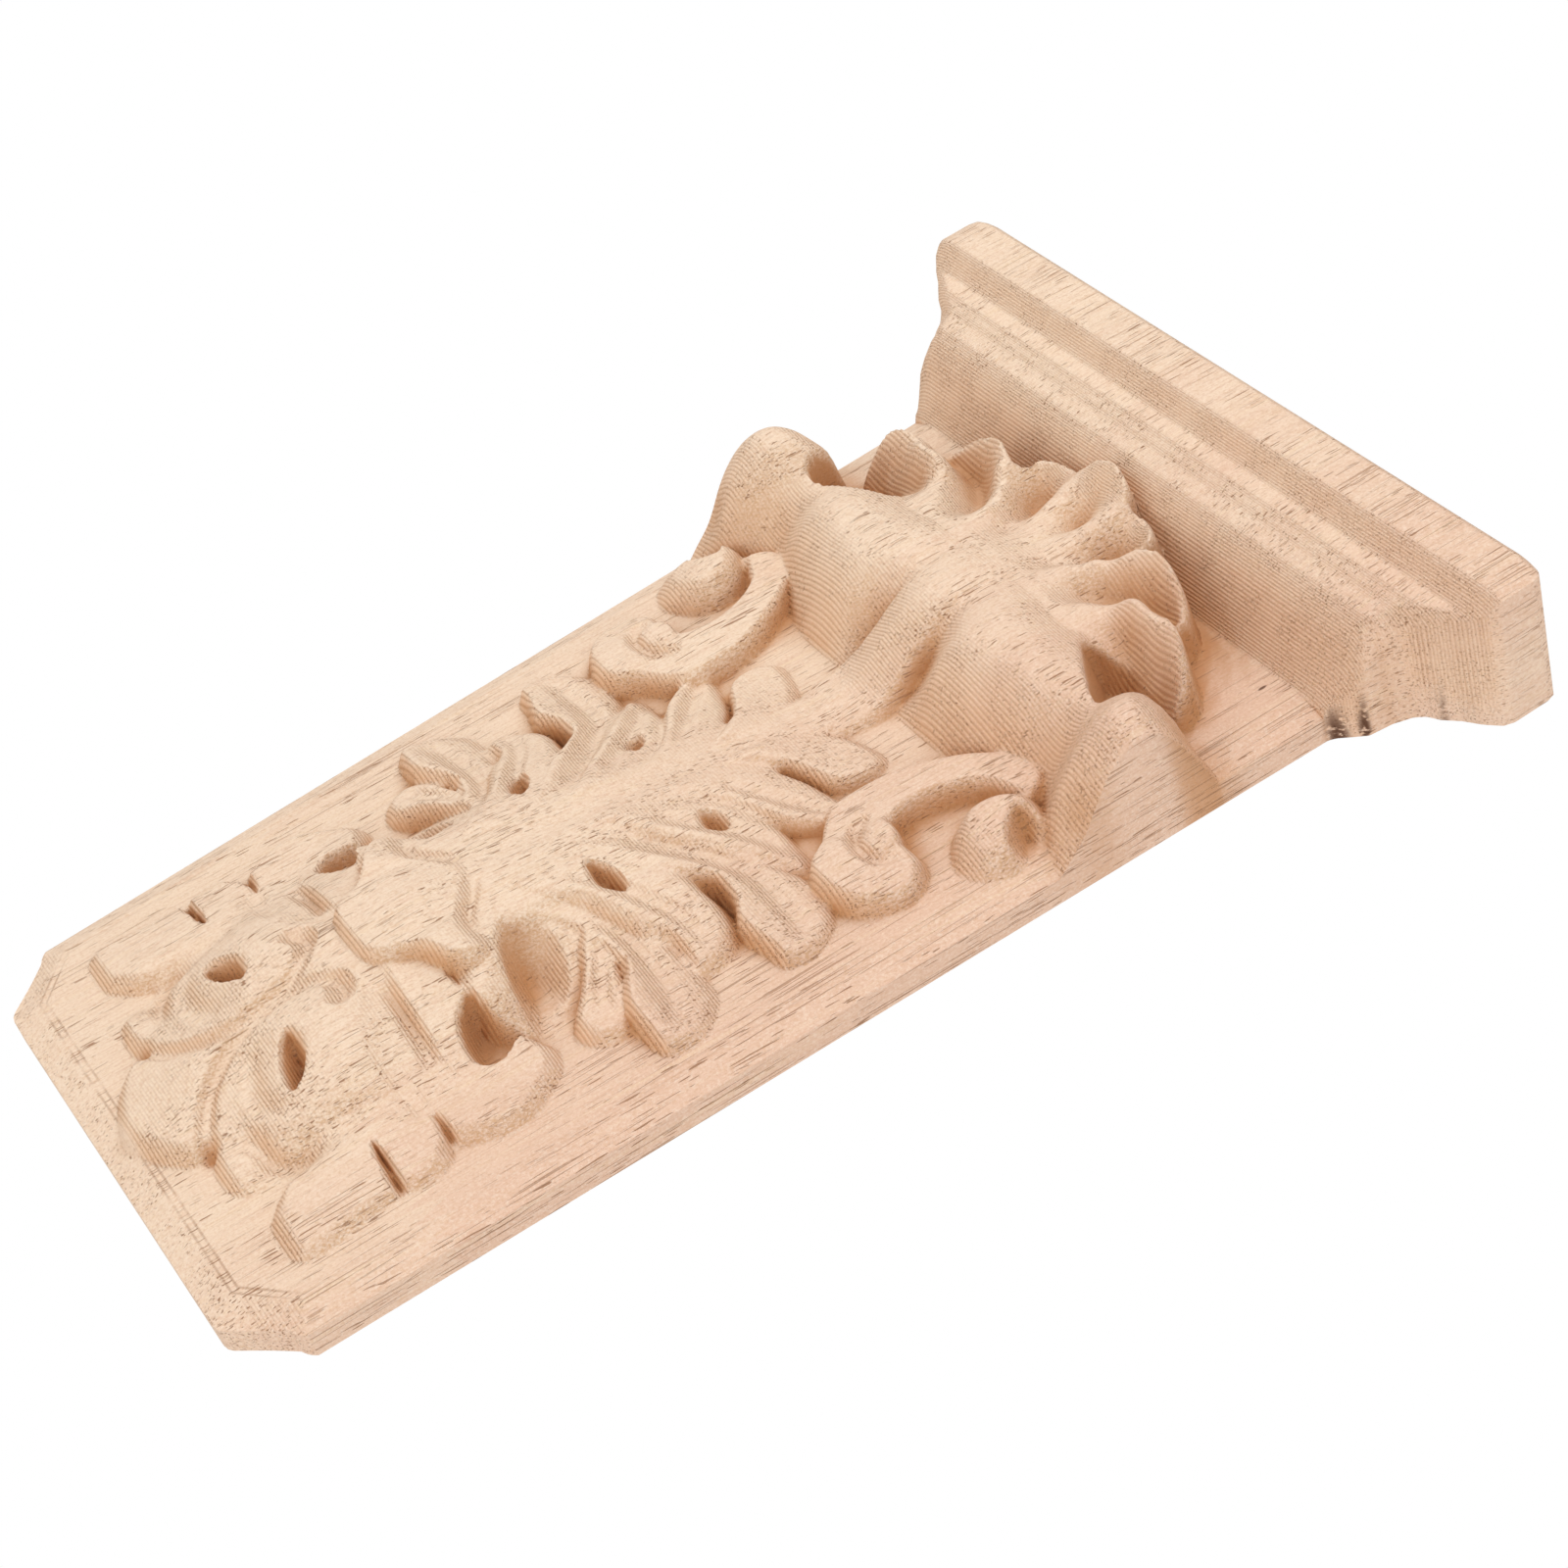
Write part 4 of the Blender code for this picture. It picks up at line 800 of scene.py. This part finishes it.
# Staves and their finger joints: each length of timber has its own tone.
stave = (across / STAVE_WIDTH + 0.31).calc("FLOOR")
finger = (across / FINGER_WIDTH).calc("PINGPONG", 0.5) * (2 * FINGER_LENGTH)
run = ((height + finger) / STAVE_LENGTH + stave * 0.37 + 0.1).calc("FLOOR")
stave_tone = wood.node("ShaderNodeTexWhiteNoise", {"noise_dimensions": "2D"},
                       {"Vector": wood.node("ShaderNodeCombineXYZ", values=[stave, run])})
drift = wood.noise(along_grain(*DRIFT_SIZE))
streak = wood.noise(along_grain(*STREAK_SIZE), detail=4, roughness=0.65)
fine_streak = wood.noise(along_grain(*FINE_STREAK_SIZE), detail=3, roughness=0.6)
right_hand = across.between(20 * MM, 75 * MM)
tone = (stave_tone * 0.5 + drift * 0.9 + right_hand * 0.4 - 0.52).between(0.1, 0.9)
colour = wood.mix(tone, CREAM, PINK)
colour = wood.mix(streak.between(0.50, 0.75) * 0.5, colour, STRAW)
colour = wood.mix(fine_streak.between(0.44, 0.70) * 0.42, colour, STREAK_PINK)

# Rays and torn fibre give every face a sandy speckle.
fuzz = wood.noise(along_grain(*FUZZ_SIZE), detail=3, roughness=0.75)
colour = wood.mix(fuzz.between(0.50, 0.66) * 0.34, colour, FUZZ_TAN)
colour = wood.mix((1 - fuzz).between(0.50, 0.66) * 0.42, colour, BLEACHED)

# Pores: long thin vessels that show as dashes along the grain and dots across it,
# crowded into long lines near the board's right-hand edge.
vessel = wood.noise(along_grain(*PORE_SIZE), detail=0)
crowding = wood.noise(along_grain(*CROWDING_SIZE))
pore = vessel.between(0.715, 0.755) * crowding.between(0.34, 0.55)
line = wood.noise(along_grain(*GRAIN_LINE_SIZE, lean=0.02), detail=1)
lined = (crowding.between(0.42, 0.58) * 0.8
         + across.between(45 * MM, 70 * MM)).between(0.0, 1.0)
grain_line = line.between(0.62, 0.70) * lined

# The cutter's passes lie side by side up the board and show where it climbs steeply.
wander = wood.noise(along_grain(*WANDER_SIZE)) * 0.25
on_cornice = (height - (CORNICE_START - ORIGIN_HEIGHT) * MM).calc("MAXIMUM", 0)
passed = height / PASS_WIDTH + on_cornice * (1 / CORNICE_PASS_WIDTH - 1 / PASS_WIDTH)
ripple = ((passed + wander) * (2 * math.pi)).calc("SINE") * 0.5 + 0.5
slope = to_foot.calc("ABSOLUTE").between(0.08, 0.56)
passes = (ripple ** 2.5) * slope * carved * (1 - sideways * 0.85) * (0.55 + crowding * 0.9)
foot_end = height.between(120 * MM, -60 * MM)
# Painted shade: faces turned to the foot are tinted orange-brown, more so towards the foot.
colour = wood.mix(foot_facing_shade * carved * (0.28 + foot_end * 0.3), colour, PAINTED_SHADE_ORANGE)
colour = wood.mix(passes * (0.44 + foot_end * 0.16), colour, PASS_BROWN)

# Torn fibres on the walls that face sideways, and in the deepest cuts a brown that is partly the
# wood's browning and partly painted shade.
torn = sideways * inboard * carved
colour = wood.mix(torn * fuzz.between(0.40, 0.60) * 0.62, colour, FUZZ_TAN)
# Painted shade: spots walled in by the carving are painted browner, most below the cornice.
shade = wood.node("ShaderNodeAttribute", {"attribute_name": "walled_in_shade"}, out="Fac")
below_cornice = height.between(116 * MM, 104 * MM)
colour = wood.mix(shade.between(0.15, 0.50) * (0.35 + below_cornice * 0.52), colour,
                  HOLLOW_BROWN_AND_SHADE)
colour = wood.mix(border_line * crowding.between(0.3, 0.6) * 0.42, colour, PORE_BROWN)
colour = wood.mix(grain_line * 0.60, colour, PORE_BROWN)
colour = wood.mix(pore * 0.85, colour, PORE_BROWN)

# Scorch from the saw low on the cornice's right-hand end.
burns = 0.0
for burn_across, burn_height, size in SCORCHES:
    gone = ((across - burn_across * MM) ** 2.0 + (height - burn_height * MM) ** 2.0) ** 0.5
    burns = (1 - gone.between(0.2 * size * MM, size * MM)) + burns
ragged = wood.noise(along_grain(*RAGGED_SIZE), detail=3).between(0.32, 0.52)
low_down = depth.between(-17 * MM, -2 * MM)
colour = wood.mix((burns * ragged * low_down * sideways).between(0.0, 1.0), colour, SCORCH)

# One black speck in the board beside the fan.
off_speck = (((across - SPECK_ACROSS) / SPECK_SIZE[0]) ** 2.0
             + ((height - SPECK_HEIGHT) / SPECK_SIZE[1]) ** 2.0) ** 0.5
colour = wood.mix((1 - off_speck.between(0.5 * MM, 1.0 * MM)) * 0.85, colour, SCORCH)

wood.finish("Base Color", colour)
wood.finish("Roughness", 0.74 + fuzz * 0.16)
wood.finish("Specular IOR Level", 0.25)
pass_cut = ripple * slope * carved * (sideways - 1) * 1.3
relief = (pass_cut - pore * 1.3 - grain_line * 0.8 - fine_streak * 0.6
          + (torn * 1.6 + 1.1) * fuzz)
wood.finish("Normal", wood.node("ShaderNodeBump", {}, {"Height": relief, "Strength": 0.8,
                                                       "Distance": 0.17 * MM}))
applique.data.materials.append(wood.material)

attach(applique, "root")
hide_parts("carved_applique")


# The studio.  The carving hangs in the clear, far above a pale paper floor.  Softboxes
# stand in front of it, at the upper left, below its foot and at the right, and the white
# surround is dimmer in front so that the relief keeps its shading.
FRONT_FILL = 0.62
FLOOR_SIZE = 12.0
FLOOR_DROP = 3.2

floor_mesh = bpy.data.meshes.new("studio_floor")
floor_form = bmesh.new()
bmesh.ops.create_grid(floor_form, x_segments=1, y_segments=1, size=FLOOR_SIZE / 2)
floor_form.to_mesh(floor_mesh)
floor_form.free()
floor = bpy.data.objects.new("studio_floor", floor_mesh)
floor.location.z = cad_box[0][2] - FLOOR_DROP
bpy.context.scene.collection.objects.link(floor)
paper = Bench("pale_paper")
paper.finish("Base Color", (0.9, 0.9, 0.9, 1))
paper.finish("Roughness", 0.9)
floor_mesh.materials.append(paper.material)


def soft_light(name, place, size, power):
    """A square softbox turned to the middle of the carving."""
    light = bpy.data.lights.new(name, "AREA")
    light.shape = "SQUARE"
    light.size = size
    light.energy = power
    lamp = bpy.data.objects.new(name, light)
    lamp.location = place
    lamp.rotation_euler = (-lamp.location).to_track_quat("-Z", "Y").to_euler()
    bpy.context.scene.collection.objects.link(lamp)


soft_light("head_softbox", (-0.4, -1.3, 0.8), 1.1, 9)
soft_light("foot_softbox", (0.3, -1.6, -2.5), 2.0, 18)
soft_light("side_softbox", (1.3, -0.9, -0.2), 1.2, 6)
surround = bpy.data.worlds.new("studio_surround")
surround.use_nodes = True
sky = surround.node_tree.nodes.new("ShaderNodeTexCoord")
split = surround.node_tree.nodes.new("ShaderNodeSeparateXYZ")
fall = surround.node_tree.nodes.new("ShaderNodeMapRange")
fall.inputs["From Min"].default_value = -0.1
fall.inputs["From Max"].default_value = 0.3
fall.inputs["To Min"].default_value = FRONT_FILL
fall.inputs["To Max"].default_value = 1.0
surround.node_tree.links.new(sky.outputs["Generated"], split.inputs[0])
surround.node_tree.links.new(split.outputs["Y"], fall.inputs["Value"])
surround.node_tree.links.new(fall.outputs[0],
                             surround.node_tree.nodes["Background"].inputs["Strength"])
surround.node_tree.nodes["Background"].inputs["Color"].default_value = (1, 1, 1, 1)
bpy.context.scene.world = surround
bpy.context.scene.view_settings.view_transform = "Standard"

# The camera stands close at the carving's right, below its foot, and is turned so that
# the head points to the upper right of the frame.
CAMERA_PLACE = (0.5214, -0.4666, -0.168)
LOOK = (-0.7195, 0.6457, 0.2556)
PICTURE_UP = (-0.471, -0.7242, 0.5036)

camera_data = bpy.data.cameras.new("photo_camera")
camera_data.sensor_width = 36
camera_data.lens = 75.2
camera_data.clip_start = 0.01
camera = bpy.data.objects.new("photo_camera", camera_data)
look = Vector(LOOK)
picture_up = Vector(PICTURE_UP)
picture_right = look.cross(picture_up)
turn = Matrix((picture_right, picture_up, -look)).transposed()
camera.matrix_world = Matrix.Translation(CAMERA_PLACE) @ turn.to_4x4()
bpy.context.scene.collection.objects.link(camera)
bpy.context.scene.camera = camera
